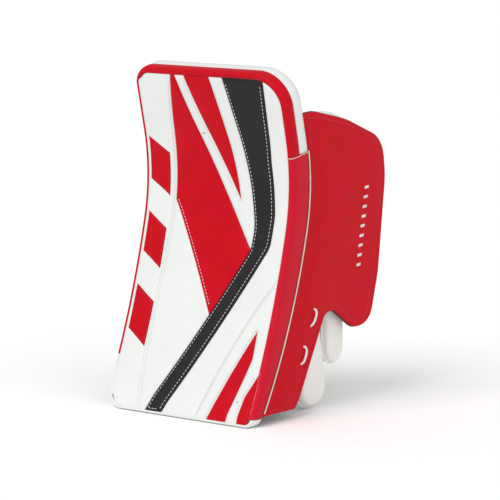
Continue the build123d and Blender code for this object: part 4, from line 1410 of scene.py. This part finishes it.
def flat_piece(name, node, look, body, axis, corner, border=None):
    """A flat strip with rounded corners and soft edges in a CAD node's box; axis is its thin direction."""
    low, high = (np.array(c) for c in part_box(node))
    others = [i for i in range(3) if i != axis]
    loop = rounded_loop(low[others], high[others], corner * MM, 5)

    def side(level, sign):
        def place(points, distance):
            space = np.empty((len(points), 3))
            ripple = 0.12 * MM * np.sin(points[:, 1] / (0.9 * MM))
            space[:, others] = points
            space[:, axis] = level - sign * rounded_rim(distance, 0.7 * MM) + sign * ripple
            return space

        return place

    piece = pillow(name, loop, side(high[axis], 1), side(low[axis], -1), look, (0.3, 0.8), 2.0, 1.2)
    fit(piece, node, body)
    if border:
        inset, level = border
        path, keep = inward(keep_corners(loop, 0.8 * MM), inset * MM)
        top = high[axis] + 0.15 * MM if level > 0 else low[axis] - 0.15 * MM

        def on_side(points):
            space = np.empty((len(points), 3))
            space[:, others] = points
            space[:, axis] = top
            return space

        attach(stitches(name + "_stitches", path[keep], on_side, "thread_white", 3.2, 2.2, 0.28, True), body)
    return piece


def build_strap():
    """Woven wrist strap, the end of it sewn to the cuff, its pull tab and its hook and loop patches."""
    flat_piece("strap_webbing", "strap_web", "webbing", "strap", 1, 1.0, (3.0, 1))
    flat_piece("strap_base", "strap_anchor", "webbing", "board", 0, 1.0, (3.0, -1))
    flat_piece("strap_pull", "strap_tab", "white", "strap", 1, 4.0)
    flat_piece("strap_hook_tape", "strap_hook_patch", "hook", "strap", 1, 2.0)
    flat_piece("strap_loop_tape", "strap_loop_patch", "hook", "board", 1, 2.0)
    low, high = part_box("strap_web")
    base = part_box("strap_anchor")[0]
    side = base.x + 1.1 * MM
    turn = [(side, low.y - 9 * MM), (side, low.y - 3 * MM)]
    turn += [(low.x + x * MM, low.y + y * MM) for x, y in ((2.4, 0.2), (5, 1.5), (10, 1.5))]
    turn = resample(np.array(turn), 0.8 * MM)
    for _ in range(4):
        turn[1:-1] = (turn[:-2] + 2 * turn[1:-1] + turn[2:]) / 4
    ahead = np.gradient(turn, axis=0)
    side = np.stack([-ahead[:, 1], ahead[:, 0]], -1) / np.linalg.norm(ahead, axis=1)[:, None]
    rings = []
    for z in np.linspace(low.z + 0.4 * MM, high.z - 0.4 * MM, 14):
        outer, inner = turn + side * 1.25 * MM, turn - side * 1.25 * MM
        ring = np.vstack([outer, inner[::-1]])
        rings.append(np.column_stack([ring, np.full(len(ring), z)]))
    fold = loft("strap_fold", rings, "webbing")
    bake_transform(fold)


build_panels()
build_edges()
build_face_stitches()
build_cross_seams()
build_bars()
build_side_trim()
build_shield()
build_shield_dashes()
build_laces()
build_padding()
build_back_cover()
build_hand_pad()
build_glove()
build_thumb_sleeve()
for finger, (across, size) in FINGERS.items():
    build_finger(finger, across, size)
build_cuff_binding()
build_strap()


# ---------------------------------------------------------------- carried-over CAD nodes
NODE_LOOKS = {
    "front_foam": "foam",
    "back_foam": "foam",
    "stiffener": "plastic",
    "shield_plate": "plastic",
    "index_guard_insert": "plastic",
    "thumb_guard_insert": "plastic",
    "pad_screws": "steel",
    "tee_nuts": "steel",
}


def dress_cad_nodes():
    for name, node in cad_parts.items():
        if not node.hide_render:
            node.data.materials.clear()
            node.data.materials.append(LOOKS[NODE_LOOKS[name]])


dress_cad_nodes()


# ---------------------------------------------------------------- floor, light and camera
AMBIENT = 0.62  # brightness of the surround as a light; the camera sees it at 1
CAMERA_AZIMUTH, CAMERA_ELEVATION = math.radians(38.2), math.radians(8.1)
CAMERA_DISTANCE, CAMERA_LENS = 3.098, 209.7  # metres, mm
CAMERA_TARGET = Vector((0.0463, 0.062, 0.1764))


def build_stage():
    """Pale floor, and a white surround that lights the part less brightly than it looks."""
    bm = bmesh.new()
    bmesh.ops.create_grid(bm, x_segments=1, y_segments=1, size=30)
    mesh = bpy.data.meshes.new("floor")
    bm.to_mesh(mesh)
    bm.free()
    floor = bpy.data.objects.new("floor", mesh)
    bpy.context.scene.collection.objects.link(floor)
    material, *_, shader = node_material("floor_paper")
    shader.inputs["Base Color"].default_value = (1.0, 1.0, 1.0, 1)
    shader.inputs["Roughness"].default_value = 0.9
    mesh.materials.append(material)
    floor.location.z = -0.0005
    world = bpy.data.worlds.new("studio")
    bpy.context.scene.world = world
    world.use_nodes = True
    tree = world.node_tree
    seen = tree.nodes.new("ShaderNodeLightPath").outputs["Is Camera Ray"]
    strength = tree.nodes.new("ShaderNodeMapRange")
    strength.inputs["To Min"].default_value = AMBIENT
    strength.inputs["To Max"].default_value = 1.0
    tree.links.new(seen, strength.inputs["Value"])
    background = tree.nodes["Background"]
    background.inputs["Color"].default_value = (1, 1, 1, 1)
    tree.links.new(strength.outputs["Result"], background.inputs["Strength"])


def sun_light(name, heading, height, angle, power):
    """Broad soft light from a compass heading (0 is straight in front of the face) and height, in degrees."""
    light = bpy.data.lights.new(name, "SUN")
    light.angle, light.energy = math.radians(angle), power
    lamp = bpy.data.objects.new(name, light)
    bpy.context.scene.collection.objects.link(lamp)
    around, up = math.radians(heading), math.radians(height)
    place = Vector((math.sin(around) * math.cos(up), -math.cos(around) * math.cos(up), math.sin(up)))
    lamp.rotation_euler = place.to_track_quat("Z", "Y").to_euler()


def build_camera():
    across, level = CAMERA_AZIMUTH, math.cos(CAMERA_ELEVATION)
    back = Vector((math.sin(across) * level, -math.cos(across) * level, math.sin(CAMERA_ELEVATION)))
    data = bpy.data.cameras.new("camera")
    data.sensor_width, data.lens = 36, CAMERA_LENS
    data.clip_end = 50
    camera = bpy.data.objects.new("camera", data)
    bpy.context.scene.collection.objects.link(camera)
    camera.location = CAMERA_TARGET + back * CAMERA_DISTANCE
    camera.rotation_euler = (-back).to_track_quat("-Z", "Y").to_euler()
    bpy.context.scene.camera = camera


build_stage()
sun_light("key", -5, 48, 40, 1.35)
sun_light("fill", 75, 30, 60, 0.64)
build_camera()
bpy.context.scene.view_settings.view_transform = "Standard"
